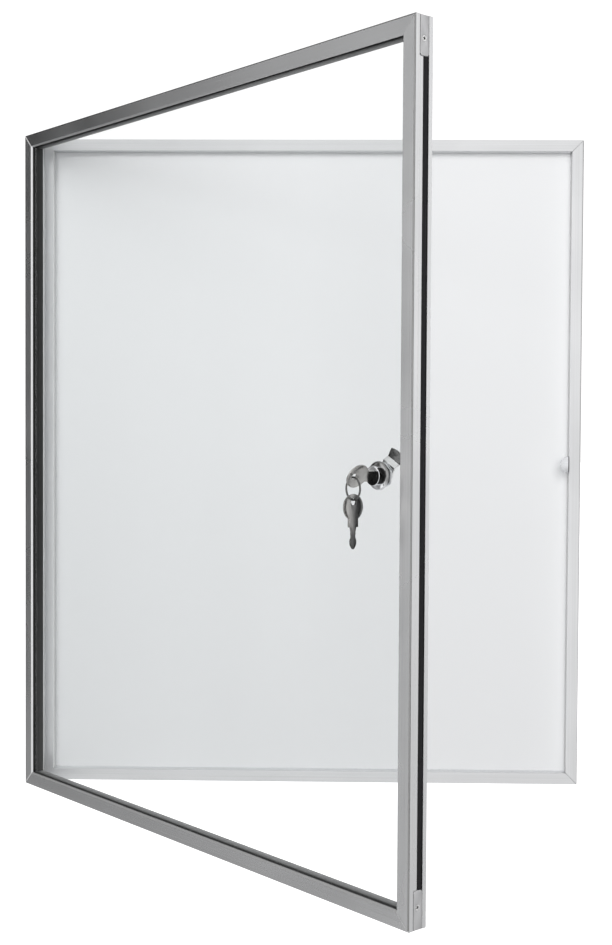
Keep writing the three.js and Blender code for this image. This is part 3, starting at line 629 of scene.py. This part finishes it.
rolledAluminium = makeMetal("rolledAluminium", grey(0.72), grey(0.66), 0.42, upright, fine=300.0,
                            length=1.5, lines=0.05)
galvanised = makeMetal("galvanisedSteel", (0.62, 0.64, 0.66), (0.5, 0.52, 0.54), 0.45, fine=200.0,
                       length=200.0, clouds=60.0)
zincSteel = makeMetal("zincSteel", (0.74, 0.75, 0.77), (0.66, 0.67, 0.69), 0.16, **pressed)
# The cam's far plate is painted dark, a painted dark reflection
camSteel = makeMetal("camSteel", (0.95, 0.955, 0.96), (0.9, 0.905, 0.91), 0.2, **pressed,
                     shades=(("Plate", 0.13),))
# Painted shade in the cross recess of the edge blocks' screws
screwSteel = makeMetal("screwSteel", grey(0.85), grey(0.8), 0.09, **pressed, shades=(("Recess", 0.01),))
# Painted shade on the rosette's upper part
chrome = makeMetal("polishedChrome", chromeLight, chromeDark, 0.1, **polished, shades=(("Rosette", 0.3),))
# Painted dark reflection on the lock's face and on the band along its right side
lockChrome = makeMetal("lockChrome", chromeLight, chromeDark, 0.07, **polished, shades=(("Head", 0.03),))
darkSteel = makeMetal("darkSteel", grey(0.17), grey(0.12), 0.17, fine=200.0, length=200.0, lines=0.03,
                      clouds=120.0)
# Painted dark reflection on the half of the spare key nearer to the pane
nickel = makeMetal("nickelSilver", (0.56, 0.55, 0.535), (0.46, 0.452, 0.44), 0.2, upright, fine=2600.0,
                   length=60.0, lines=0.12, clouds=140.0, shades=(("Spare", 0.16),))

lacquerFinish = {
    "dark": (0.795, 0.801, 0.812), "light": (0.803, 0.809, 0.82), "clouds": 5.0, "grain": 160.0,
    "dust": 0.05, "dustTone": 0.5, "roughRange": (0.34, 0.40), "bump": 0.04, "relief": 0.0001, "ior": 1.5,
}


def makeLacquer():
    shader = Shader("whiteLacquer")
    smudge = shader.group(smudges, Size=lacquerFinish["clouds"])
    fineSmudge = shader.group(smudges, Size=lacquerFinish["grain"])
    tone = shader.mix(shader.spread(smudge["Cloud"], 0, 1), lacquerFinish["dark"], lacquerFinish["light"])
    dust = shader.fade(smudge["Dust"], 0, lacquerFinish["dust"])
    dusty = shader.mix(dust, tone, lacquerFinish["dustTone"])
    rough = shader.spread(smudge["Cloud"], *lacquerFinish["roughRange"])
    normal = shader.bump(fineSmudge["Cloud"], lacquerFinish["bump"], lacquerFinish["relief"])
    return shader.finishPlain(Base_Color=dusty, Roughness=rough, IOR=lacquerFinish["ior"], Normal=normal)


mattFinish = {
    "clouds": 20.0, "wear": 0.4, "wornGain": 1.3, "wornLift": 0.02, "jointShade": 0.1,
    "roughRange": (0.9, 1.1), "bump": 0.3,
}


# Rubber, plastic or board: grain is the scale of its fine noise and relief how deep that goes, and joint
# paints shade into the joint beside the edge blocks
def makeMatt(name, light, dark, roughness, grain, relief, shine=0.5, joint=False):
    shader = Shader(name)
    fineSmudge = shader.group(smudges, Size=grain)
    broad = shader.group(smudges, Size=mattFinish["clouds"])
    edge = shader.group(edgeWear, Amount=mattFinish["wear"])
    tone = shader.mix(shader.spread(fineSmudge["Cloud"], 0, 1), dark, light)
    bright = tuple(c * mattFinish["wornGain"] + mattFinish["wornLift"] for c in light)
    worn = shader.mix(edge["Edge"], tone, bright)
    if joint:
        masks = shader.group(lockMasks)
        # Painted shade in the joint beside the edge blocks
        worn = shader.mix(masks["Joint"], worn, mattFinish["jointShade"])
    rough = shader.spread(broad["Cloud"], *(roughness * share for share in mattFinish["roughRange"]))
    normal = shader.bump(fineSmudge["Cloud"], mattFinish["bump"], relief)
    return shader.finishPlain(Base_Color=worn, Roughness=rough, Normal=normal, Specular_IOR_Level=shine)


paneFinish = {"ior": 1.45, "clear": (0.981, 0.986, 0.986, 1), "clouds": 9.0, "roughRange": (0.015, 0.05)}


# The pane lets light through, and its front sides mirror by the Fresnel share
def makePane():
    shader = Shader("clearPane")
    smudge = shader.group(smudges, Size=paneFinish["clouds"])
    fresnel = shader.add("ShaderNodeFresnel")
    fresnel.inputs["IOR"].default_value = paneFinish["ior"]
    side = shader.add("ShaderNodeNewGeometry")
    front = shader.math("SUBTRACT", 1.0, side.outputs["Backfacing"])
    share = shader.math("MULTIPLY", fresnel.outputs[0], front)
    clear = shader.add("ShaderNodeBsdfTransparent")
    clear.inputs["Color"].default_value = paneFinish["clear"]
    rough = shader.spread(smudge["Cloud"], *paneFinish["roughRange"])
    gloss = shader.principled(Base_Color=(1, 1, 1, 1), Metallic=1.0, Roughness=rough)
    mix = shader.add("ShaderNodeMixShader")
    shader.link(share, mix.inputs["Fac"])
    shader.link(clear.outputs[0], mix.inputs[1])
    shader.link(gloss, mix.inputs[2])
    return shader.finish(mix.outputs[0])


lacquer = makeLacquer()
fibreBoard = makeMatt("fibreBoard", (0.42, 0.3, 0.18), (0.3, 0.21, 0.12), 0.85, 420.0, 0.0003)
gasketRubber = makeMatt("gasketRubber", grey(0.056), grey(0.044), 0.6, 700.0, 0.00012, 0.16)
rubber = makeMatt("blackRubber", (0.022, 0.022, 0.024), (0.012, 0.012, 0.013), 0.6, 700.0, 0.00012, 0.16)
greyPlastic = makeMatt("greyPlastic", (0.55, 0.55, 0.56), (0.52, 0.52, 0.53), 0.42, 1100.0, 0.00005,
                       joint=True)
pane = makePane()
print("materials made")


def dress(node, material):
    ob = nodes[node]
    if not ob.material_slots:
        ob.data.materials.append(material)
    for slot in ob.material_slots:
        slot.material = material


for end in ("top", "bottom"):
    dress("case_rail_" + end, anodised["caseRail"])
    dress("door_rail_" + end, anodised["doorRail"])
for side in ("left", "right"):
    dress("case_stile_" + side, anodised["caseStile"])
    dress("hanger_plate_" + side, galvanised)
for side in ("hinge", "free"):
    dress("door_stile_" + side, anodised["doorStile"])
for node in nodes:
    if "corner_bracket" in node:
        dress(node, galvanised)
dress("whiteboard_sheet", lacquer)
dress("core_board", fibreBoard)
dress("rear_sheet", rolledAluminium)
dress("glazing_gasket", gasketRubber)
dress("free_edge_seal", rubber)
dress("pane", pane)

barArris = {"width": 0.3, "segments": 2, "degrees": 28}
easedEdge = {
    "segments": 2, "degrees": 25, "merge": 2e-6, "flatDegrees": 1, "smoothDegrees": 40,
    "cam": 0.3, "nut": 0.15, "plate": 0.2, "block": 0.3, "plug": 0.12,
}


def addBevel(ob, name, width, segments, degrees):
    bevel = ob.modifiers.new(name, "BEVEL")
    bevel.width = width * mm
    bevel.segments = segments
    bevel.limit_method = "ANGLE"
    bevel.angle_limit = math.radians(degrees)
    bevel.use_clamp_overlap = True
    return bevel


# The bars' arrises and mitred ends are broken by a fine rounding
for node, ob in nodes.items():
    if "_rail_" in node or "_stile_" in node:
        addBevel(ob, "arris", barArris["width"], barArris["segments"], barArris["degrees"])


# A grid of points, rows by columns, becomes quads, and each direction may close on itself: the quad
# at (i, j) joins that point to the next one in its row and to the two beside them in the next row
def gridFaces(rows, columns, closeRows=False, closeColumns=False):
    r = np.arange(rows if closeRows else rows - 1)
    c = np.arange(columns if closeColumns else columns - 1)
    i, j = np.meshgrid(r, c, indexing="ij")
    nextI, nextJ = (i + 1) % rows, (j + 1) % columns
    return np.stack(
        [i * columns + j, i * columns + nextJ, nextI * columns + nextJ, nextI * columns + j], -1
    ).reshape(-1, 4)


cleaning = {"merge": 1e-6, "least": 1e-7, "smoothDegrees": 35}


# A mesh opened for edits with its doubles merged, and written back at the end
@contextmanager
def editing(mesh, merge):
    work = bmesh.new()
    work.from_mesh(mesh)
    bmesh.ops.remove_doubles(work, verts=work.verts, dist=merge)
    yield work
    work.to_mesh(mesh)
    work.free()


def cleanMesh(mesh, smoothDegrees):
    limit = math.radians(smoothDegrees)
    with editing(mesh, cleaning["merge"]) as work:
        bmesh.ops.dissolve_degenerate(work, edges=work.edges, dist=cleaning["least"])
        bmesh.ops.recalc_face_normals(work, faces=work.faces)
        for face in work.faces:
            face.smooth = True
        for edge in work.edges:
            edge.smooth = not edge.is_manifold or edge.calc_face_angle(0) < limit


def addPiece(name, mesh, body, material, replaced, smoothDegrees):
    cleanMesh(mesh, smoothDegrees)
    mesh.name = name
    mesh.materials.clear()
    mesh.materials.append(material)
    ob = bpy.data.objects.new(name, mesh)
    scene.collection.objects.link(ob)
    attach(ob, body)
    if replaced:
        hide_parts(replaced)


def makePiece(name, points, faces, matrix, body, material, replaced=None,
              smoothDegrees=cleaning["smoothDegrees"]):
    mesh = bpy.data.meshes.new(name)
    flat = np.asarray(points, float).reshape(-1, 3)
    mesh.from_pydata(flat, [], [list(map(int, face)) for face in faces])
    mesh.transform(matrix)
    addPiece(name, mesh, body, material, replaced, smoothDegrees)


# A profile of (radius, depth) pairs turned about the lock's axis: the point at angle a is
# (radius sin a, depth, radius cos a). It starts and ends on the axis or closes on itself.
def turnedPiece(name, profile, matrix, body, material, replaced, steps=96, closed=False):
    radius, depth = np.array(profile, float).T
    angle = np.linspace(0, 2 * np.pi, steps, endpoint=False)
    points = np.stack(
        [np.outer(np.sin(angle), radius), np.tile(depth, (steps, 1)), np.outer(np.cos(angle), radius)], -1
    )
    faces = gridFaces(steps, len(radius), True, closed)
    makePiece(name, points, faces, matrix, body, material, replaced)


# Corners of a profile rounded, each by an arc of a circle that touches both its sides. The rounds hold
# the corner's index, the radius and the number of points, and go from the last corner to the first.
def rounded(profile, rounds):
    for index, radius, count in rounds:
        points = [np.array(p, float) for p in profile]
        a, b, c = points[index - 1], points[index], points[(index + 1) % len(points)]
        u, v = (a - b) / np.linalg.norm(a - b), (c - b) / np.linalg.norm(c - b)
        angle = math.acos(float(np.clip(u @ v, -1, 1)))
        reach = radius / math.tan(angle / 2)
        middle = b + (u + v) / np.linalg.norm(u + v) * radius / math.sin(angle / 2)
        start, end = b + u * reach - middle, b + v * reach - middle
        across = np.array([-start[1], start[0]])
        turn = math.atan2(across @ end, start @ end)
        arc = [middle + start * math.cos(t) + across * math.sin(t) for t in np.linspace(0, turn, count)]
        profile = [tuple(p) for p in points[:index] + arc + points[index + 1:]]
    return profile


# The mesh that a helper object's modifiers or curve give
def finishedMesh(helper):
    scene.collection.objects.link(helper)
    bpy.context.view_layer.update()
    graph = bpy.context.evaluated_depsgraph_get()
    mesh = bpy.data.meshes.new_from_object(helper.evaluated_get(graph))
    bpy.data.objects.remove(helper)
    return mesh


# A copy of a CAD piece with its edges eased, for pressed, cut and moulded pieces
def easedCopy(node, name, body, width=easedEdge["plate"], material=zincSteel):
    mesh = nodes[node].data.copy()
    flat = math.radians(easedEdge["flatDegrees"])
    with editing(mesh, easedEdge["merge"]) as work:
        bmesh.ops.dissolve_limit(work, angle_limit=flat, verts=work.verts, edges=work.edges)
    helper = bpy.data.objects.new("helper", mesh)
    bevel = addBevel(helper, "easedEdges", width, easedEdge["segments"], easedEdge["degrees"])
    bevel.miter_outer = "MITER_ARC"
    done = finishedMesh(helper)
    bpy.data.meshes.remove(mesh)
    addPiece(name, done, body, material, node, easedEdge["smoothDegrees"])


easedCopy("cam", "camPlate", "lock", easedEdge["cam"], camSteel)
easedCopy("cam_nut", "camNut", "lock", easedEdge["nut"])
easedCopy("lock_nut", "lockNut", "door")
easedCopy("keeper", "keeperPlate", "case")
for body in ("case", "door"):
    for end in ("top", "bottom"):
        easedCopy("%s_hinge_leaf_%s" % (body, end), body + "HingeLeaf" + end.capitalize(), body)
for end in ("top", "bottom"):
    easedCopy("edge_block_" + end, "edgeBlock" + end.capitalize(), "door", easedEdge["block"], greyPlastic)
print("pressed and moulded pieces eased")

# Lock: head, threaded barrel, rosette and plug, as in the drawing, from the door's front face
lock = {
    "headFront": -5, "headRadius": 9, "rim": 1.6, "sunk": 0.5, "bore": 5.3, "headRear": 0.3,
    "rounds": ((3, 0.9, 8), (2, 0.3, 4)), "barrelRadius": 8, "barrelRear": 9.4, "plainRear": 6.7,
    "threadFront": 7.0, "threadPitch": 0.75, "threadDepth": 0.3, "threadEnd": 0.1, "foot": 0.2,
}
rosette = {
    "profile": [(8.3, 0.6), (9.6, 0.6), (12.2, 1.1), (13.1, 2.4), (13.1, 3.3), (8.3, 3.3)],
    "rounds": ((4, 0.15, 3), (3, 0.4, 5), (2, 0.8, 6)),
}


# From the bore outwards over the sunk face and the rim, back along the head and the barrel, whose
# thread goes in and out once a pitch, and in again to the bore
def lockHeadProfile():
    front, radius, barrel = lock["headFront"], lock["headRadius"], lock["barrelRadius"]
    root, rear, pitch = barrel - lock["threadDepth"], lock["barrelRear"], lock["threadPitch"]
    profile = rounded([
        (lock["bore"], front + lock["sunk"]),
        (radius - lock["rim"], front + lock["sunk"]),
        (radius - lock["rim"], front),
        (radius, front),
        (radius, lock["headRear"]),
        (barrel, lock["headRear"]),
        (barrel, lock["plainRear"]),
    ], lock["rounds"])
    depth = lock["threadFront"]
    while depth + pitch < rear - lock["threadEnd"]:
        profile += [(root, depth), (barrel, depth + pitch / 2)]
        depth += pitch
    return profile + [(root, rear - lock["foot"]), (root - lock["foot"], rear), (lock["bore"], rear)]


rosetteProfile = rounded(rosette["profile"], rosette["rounds"])
turnedPiece("lockHead", lockHeadProfile(), toLock, "door", lockChrome, "lock_housing", closed=True)
turnedPiece("lockRosette", rosetteProfile, toLock, "door", chrome, "lock_rosette", closed=True)
easedCopy("lock_plug", "lockPlug", "lock", easedEdge["plug"], lockChrome)
print("lock made")


# The blade's width along its length, as shares of the blade's length and width
bladeShares = (
    (0, 0.94), (0.1, 0.84), (0.22, 0.66), (0.3, 0.74), (0.38, 0.6), (0.48, 0.64), (0.56, 0.9),
    (0.64, 1), (0.8, 0.93), (0.92, 0.52), (1, 0.16),
)


# The key's outline, by the distance from the bow's outer rim and across: the bow's circle from one
# side of the shoulder round to the other, the shoulder's straight sides and the blade
def keyOutline():
    half, radius = key["shoulderWidth"] / 2, key["bowRadius"]
    meet = math.asin(half / radius)
    angle = np.linspace(meet, 2 * np.pi - meet, key["bowSteps"])
    bow = np.stack([radius + radius * np.cos(angle), radius * np.sin(angle)], -1)
    shoulder = key["bowLength"] + key["shoulderLength"]
    place, width = np.array(bladeShares, float).T
    lower = np.stack([shoulder + place * key["bladeLength"], -width * key["bladeWidth"] / 2], -1)
    upper = lower[::-1] * (1, -1)
    return np.concatenate([bow, [[shoulder, -half]], lower, upper, [[shoulder, half]]])


# Flat outlines filled between them, given thickness and eased edges by Blender's curve fill
def curvePlate(outlines, depth, ease):
    curve = bpy.data.curves.new("plate", "CURVE")
    curve.dimensions = "2D"
    curve.fill_mode = "BOTH"
    for outline in outlines:
        spline = curve.splines.new("POLY")
        spline.points.add(len(outline) - 1)
        flat = np.zeros((len(outline), 4))
        flat[:, :2] = outline
        flat[:, 3] = 1
        spline.points.foreach_set("co", flat.ravel())
        spline.use_cyclic_u = True
    curve.extrude = depth / 2 - ease
    curve.bevel_depth = ease
    curve.bevel_resolution = key["easeSteps"]
    curve.offset = -ease
    mesh = finishedMesh(bpy.data.objects.new("plate", curve))
    bpy.data.curves.remove(curve)
    return mesh


# A circle's points about a middle on the outline's X axis
def circle(x, radius, steps):
    angle = np.linspace(0, 2 * np.pi, steps, endpoint=False)
    return np.stack([x + radius * np.cos(angle), radius * np.sin(angle)], -1)


# The bow slopes down to its rim like a coin's edge: on each side it is lower by the rim's depth times
# the share of the rim's width that lies inside the point
def shapeKey(mesh):
    points = np.empty(len(mesh.vertices) * 3)
    mesh.vertices.foreach_get("co", points)
    points = points.reshape(-1, 3)
    x, y, z = points.T
    fromMiddle = np.hypot(x - key["bowRadius"], y)
    slope = np.clip((fromMiddle - (key["bowRadius"] - key["rimWidth"])) / key["rimWidth"], 0, 1)
    onBow = np.clip((key["bowLength"] - key["rimEnd"] - x) / key["rimEnd"], 0, 1)
    points[:, 2] = z * (1 - 2 * key["rimDepth"] / key["thickness"] * slope * onBow)
    mesh.vertices.foreach_set("co", points.ravel())


def makeKey(name, matrix, body, node):
    eye = circle(key["eyeInset"], key["eye"], key["eyeSteps"])
    mesh = curvePlate([keyOutline(), eye], key["thickness"], key["ease"])
    with editing(mesh, key["merge"]) as work:
        bmesh.ops.triangulate(work, faces=work.faces)
        for _ in range(key["cuts"]):
            long = [e for e in work.edges if e.calc_length() > key["longest"]]
            bmesh.ops.subdivide_edges(work, edges=long, cuts=1)
            bmesh.ops.triangulate(work, faces=work.faces)
    shapeKey(mesh)
    mesh.transform(matrix)
    addPiece(name, mesh, body, nickel, node, key["smoothDegrees"])


# The outline's X goes along the key's length, its Y across it and its Z through it
def axesMatrix(lengthAxis, acrossAxis, throughAxis):
    return Matrix((lengthAxis, acrossAxis, throughAxis)).transposed().to_4x4()


inLock = toPlug @ Matrix.Translation((0, keyRimAt, 0)) @ axesMatrix((0, 1, 0), (0, 0, 1), (1, 0, 0))
makeKey("keyInLock", inLock, "key", "key")
ringMiddle = -ring["drop"] - ring["radius"]
spareEye = ringMiddle - ring["radius"] - (key["eye"] - ring["wire"] - ring["slack"])
hanging = toLock @ Matrix.Translation((0, ringDepth, spareEye + key["eyeInset"]))
makeKey("spareKey", hanging @ axesMatrix((0, 0, -1), (0, 1, 0), (1, 0, 0)), "spare", "spare_key")


# Split ring: a flattened wire along a helix of nearly two turns, whose coils lie side by side. The
# wire's point at section angle s is at radius + width cos s, and at the helix's depth + thickness sin s.
def makeRing():
    steps, around, wire = ring["steps"], ring["round"], ring["wire"]
    share = np.linspace(0, 1, steps)
    angle = share * 2 * np.pi * ring["turns"] + ring["startAngle"]
    shift = (share - 0.5) * wire * ring["pitchShare"]
    section = np.linspace(0, 2 * np.pi, around, endpoint=False)
    reach = ring["radius"] + wire * ring["wideShare"] * np.cos(section)[None, :]
    depth = shift[:, None] + wire * ring["thickShare"] * np.sin(section)[None, :]
    points = np.stack(
        [reach * np.sin(angle)[:, None], depth + 0 * reach, reach * np.cos(angle)[:, None]], -1
    ).reshape(-1, 3)
    faces = [list(f) for f in gridFaces(steps, around, False, True)]
    faces.append(list(range(around))[::-1])
    faces.append([(steps - 1) * around + k for k in range(around)])
    place = toLock @ Matrix.Translation((0, ringDepth, ringMiddle))
    place = place @ Matrix.Rotation(math.radians(-ring["turnDegrees"]), 4, "Z")
    makePiece("keyRing", points, faces, place, "ring", darkSteel, "key_ring", ring["smoothDegrees"])


makeRing()
print("keys and ring made")

# The cross's bars as shares: their half width and their depth of the cross's reach, and the slopes
# at their sides and ends of the half width and of the reach
screwHead = {
    "rings": 26, "around": 96, "crowding": 0.9, "barShare": 0.26, "sideShare": 0.5, "endShare": 0.45,
    "cutShare": 0.8, "smoothDegrees": 30,
}


# Screws: a domed or flat head with a cross cut into it. On a polar grid the head's height is the
# crown less the depth of the cross, which is a pair of bars that taper towards their ends. The flank
# goes on from the head's edge by pairs of a share of the radius and a depth.
def makeScrew(name, radius, crown, flank, cross, matrix, body, replaced=None, material=zincSteel):
    around = screwHead["around"]
    r = np.linspace(0, 1, screwHead["rings"]) ** screwHead["crowding"] * radius
    angle = np.linspace(0, 2 * np.pi, around, endpoint=False)
    radial, turn = np.meshgrid(r, angle, indexing="ij")
    x, z = radial * np.sin(turn), radial * np.cos(turn)
    half = cross * screwHead["barShare"]
    inBar = np.minimum(np.abs(x), np.abs(z))
    outBar = np.maximum(np.abs(x), np.abs(z))
    cut = np.clip((half - inBar) / (half * screwHead["sideShare"]), 0, 1)
    cut = cut * np.clip((cross - outBar) / (cross * screwHead["endShare"]), 0, 1)
    top = -crown * (1 - (radial / radius) ** 2) + cut * cross * screwHead["cutShare"]
    rows = [np.stack([x, top, z], -1)]
    for share, depth in flank:
        rows.append(np.stack([x[-1:] * share, np.full((1, around), depth), z[-1:] * share], -1))
    rows.append(np.zeros((1, around, 3)) + (0, flank[-1][1], 0))
    points = np.concatenate(rows)
    faces = gridFaces(len(points), around, False, True)
    makePiece(name, points, faces, matrix, body, material, replaced, screwHead["smoothDegrees"])


blockScrew = {
    "depth": 11.55, "inset": 20.15, "sunk": 0.2, "radius": 2.7, "cross": 1.8, "spin": 0.35,
    "flank": [(1.0, 0.3), (0.56, 1.7), (0.56, 5.1), (0.3, 6.5)],
}
for end, up in (("Top", 1), ("Bottom", -1)):
    height = up * (board["height"] / 2 - blockScrew["inset"])
    place = Matrix.Translation((board["width"] - blockScrew["sunk"], blockScrew["depth"], height))
    inward = Matrix.Rotation(math.pi / 2, 4, "Z")
    spin = Matrix.Rotation(blockScrew["spin"] * up, 4, "Y")
    makeScrew("edgeBlockScrew" + end, blockScrew["radius"], 0.0, blockScrew["flank"], blockScrew["cross"],
              toDoor @ place @ inward @ spin, "door", "edge_block_screw_" + end.lower(), screwSteel)

# Pan heads that hold the hinge leaves and the keeper, too small for the drawing of the part. Each
# stands on a plate that faces the left.
panHead = {"radius": 2.1, "crown": 0.5, "stand": 0.3, "cross": 1.15, "flank": [(1.0, 0.3)]}
leafScrew = {
    "out": 1.8, "depth": 10.2, "caseShift": 0.5, "inset": (8.0, 27.0), "caseSpin": 0.5, "doorSpin": 0.9,
}
keeperScrew = {"across": 654.5, "depth": 7.6, "height": 5.5, "spin": 0.3, "spinStep": 0.4}


def makePanHead(name, toFrame, across, depth, height, spin, body):
    place = Matrix.Translation((across - panHead["stand"], depth, height))
    turn = Matrix.Rotation(-math.pi / 2, 4, "Z") @ Matrix.Rotation(spin, 4, "Y")
    makeScrew(name, panHead["radius"], panHead["crown"], panHead["flank"], panHead["cross"],
              toFrame @ place @ turn, body)


leafSides = (
    ("case", toCase, leafScrew["depth"] - leafScrew["caseShift"], leafScrew["caseSpin"]),
    ("door", toDoor, board["hingeDepth"] - leafScrew["depth"], leafScrew["doorSpin"]),
)
for end, up in (("Top", 1), ("Bottom", -1)):
    for number, inset in enumerate(leafScrew["inset"], 1):
        for body, toFrame, depth, spin in leafSides:
            makePanHead("%sLeafScrew%s%d" % (body, end, number), toFrame, -leafScrew["out"], depth,
                        up * (board["height"] / 2 - inset), spin * number, body)
for end, up in (("Upper", 1), ("Lower", -1)):
    makePanHead("keeperScrew" + end, toCase, keeperScrew["across"], keeperScrew["depth"],
                up * keeperScrew["height"], keeperScrew["spin"] + up * keeperScrew["spinStep"], "case")
print("screws made")

pin = {
    "radius": 1.5, "foot": 0.3, "head": 1.2, "headRadius": 2.4, "dome": 0.5, "domeFrom": 0.2,
    "domeSteps": 7, "steps": 48,
}


# Hinge pins: a plain pin with an eased foot and a head whose top is an arc from its rim to the axis
def makePin(name, node, body):
    low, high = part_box(node)
    middle = (low + high) / 2
    height = (high.z - low.z) / mm
    under, rim = height - pin["head"], height - pin["dome"]
    profile = [(0, 0), (pin["radius"] - pin["foot"], 0), (pin["radius"], pin["foot"])]
    profile += [(pin["radius"], under), (pin["headRadius"], under), (pin["headRadius"], rim)]
    profile += [
        (pin["headRadius"] * math.cos(a), rim + pin["dome"] * math.sin(a))
        for a in np.linspace(pin["domeFrom"], math.pi / 2, pin["domeSteps"])
    ]
    place = Matrix.Translation((middle.x, middle.y, low.z)) @ toMetres
    upwards = Matrix.Rotation(math.pi / 2, 4, "X")
    turnedPiece(name, profile, place @ upwards, body, zincSteel, node, pin["steps"])


for end in ("Top", "Bottom"):
    makePin("hingePin" + end, "hinge_pin_" + end.lower(), "case")
print("hinge pins made")


# A plain pale floor that glows a little and is not mirrored in the metal
def makeFloor():
    half, level = studio["floorHalf"], studio["floorLevel"]
    mesh = bpy.data.meshes.new("floor")
    corners = [(-half, -half, level), (half, -half, level), (half, half, level), (-half, half, level)]
    mesh.from_pydata(corners, [], [(0, 1, 2, 3)])
    shader = Shader("paleFloor")
    smudge = shader.group(smudges, Size=studio["floorClouds"])
    tone = shader.mix(shader.spread(smudge["Cloud"], 0, 1), *map(grey, studio["floorTones"]))
    mesh.materials.append(shader.finishPlain(
        Base_Color=tone, Roughness=studio["floorRoughness"], Emission_Color=(1, 1, 1, 1),
        Emission_Strength=studio["floorGlow"],
    ))
    ob = bpy.data.objects.new("floor", mesh)
    ob.visible_glossy = False
    ob.visible_diffuse = False
    scene.collection.objects.link(ob)


makeFloor()
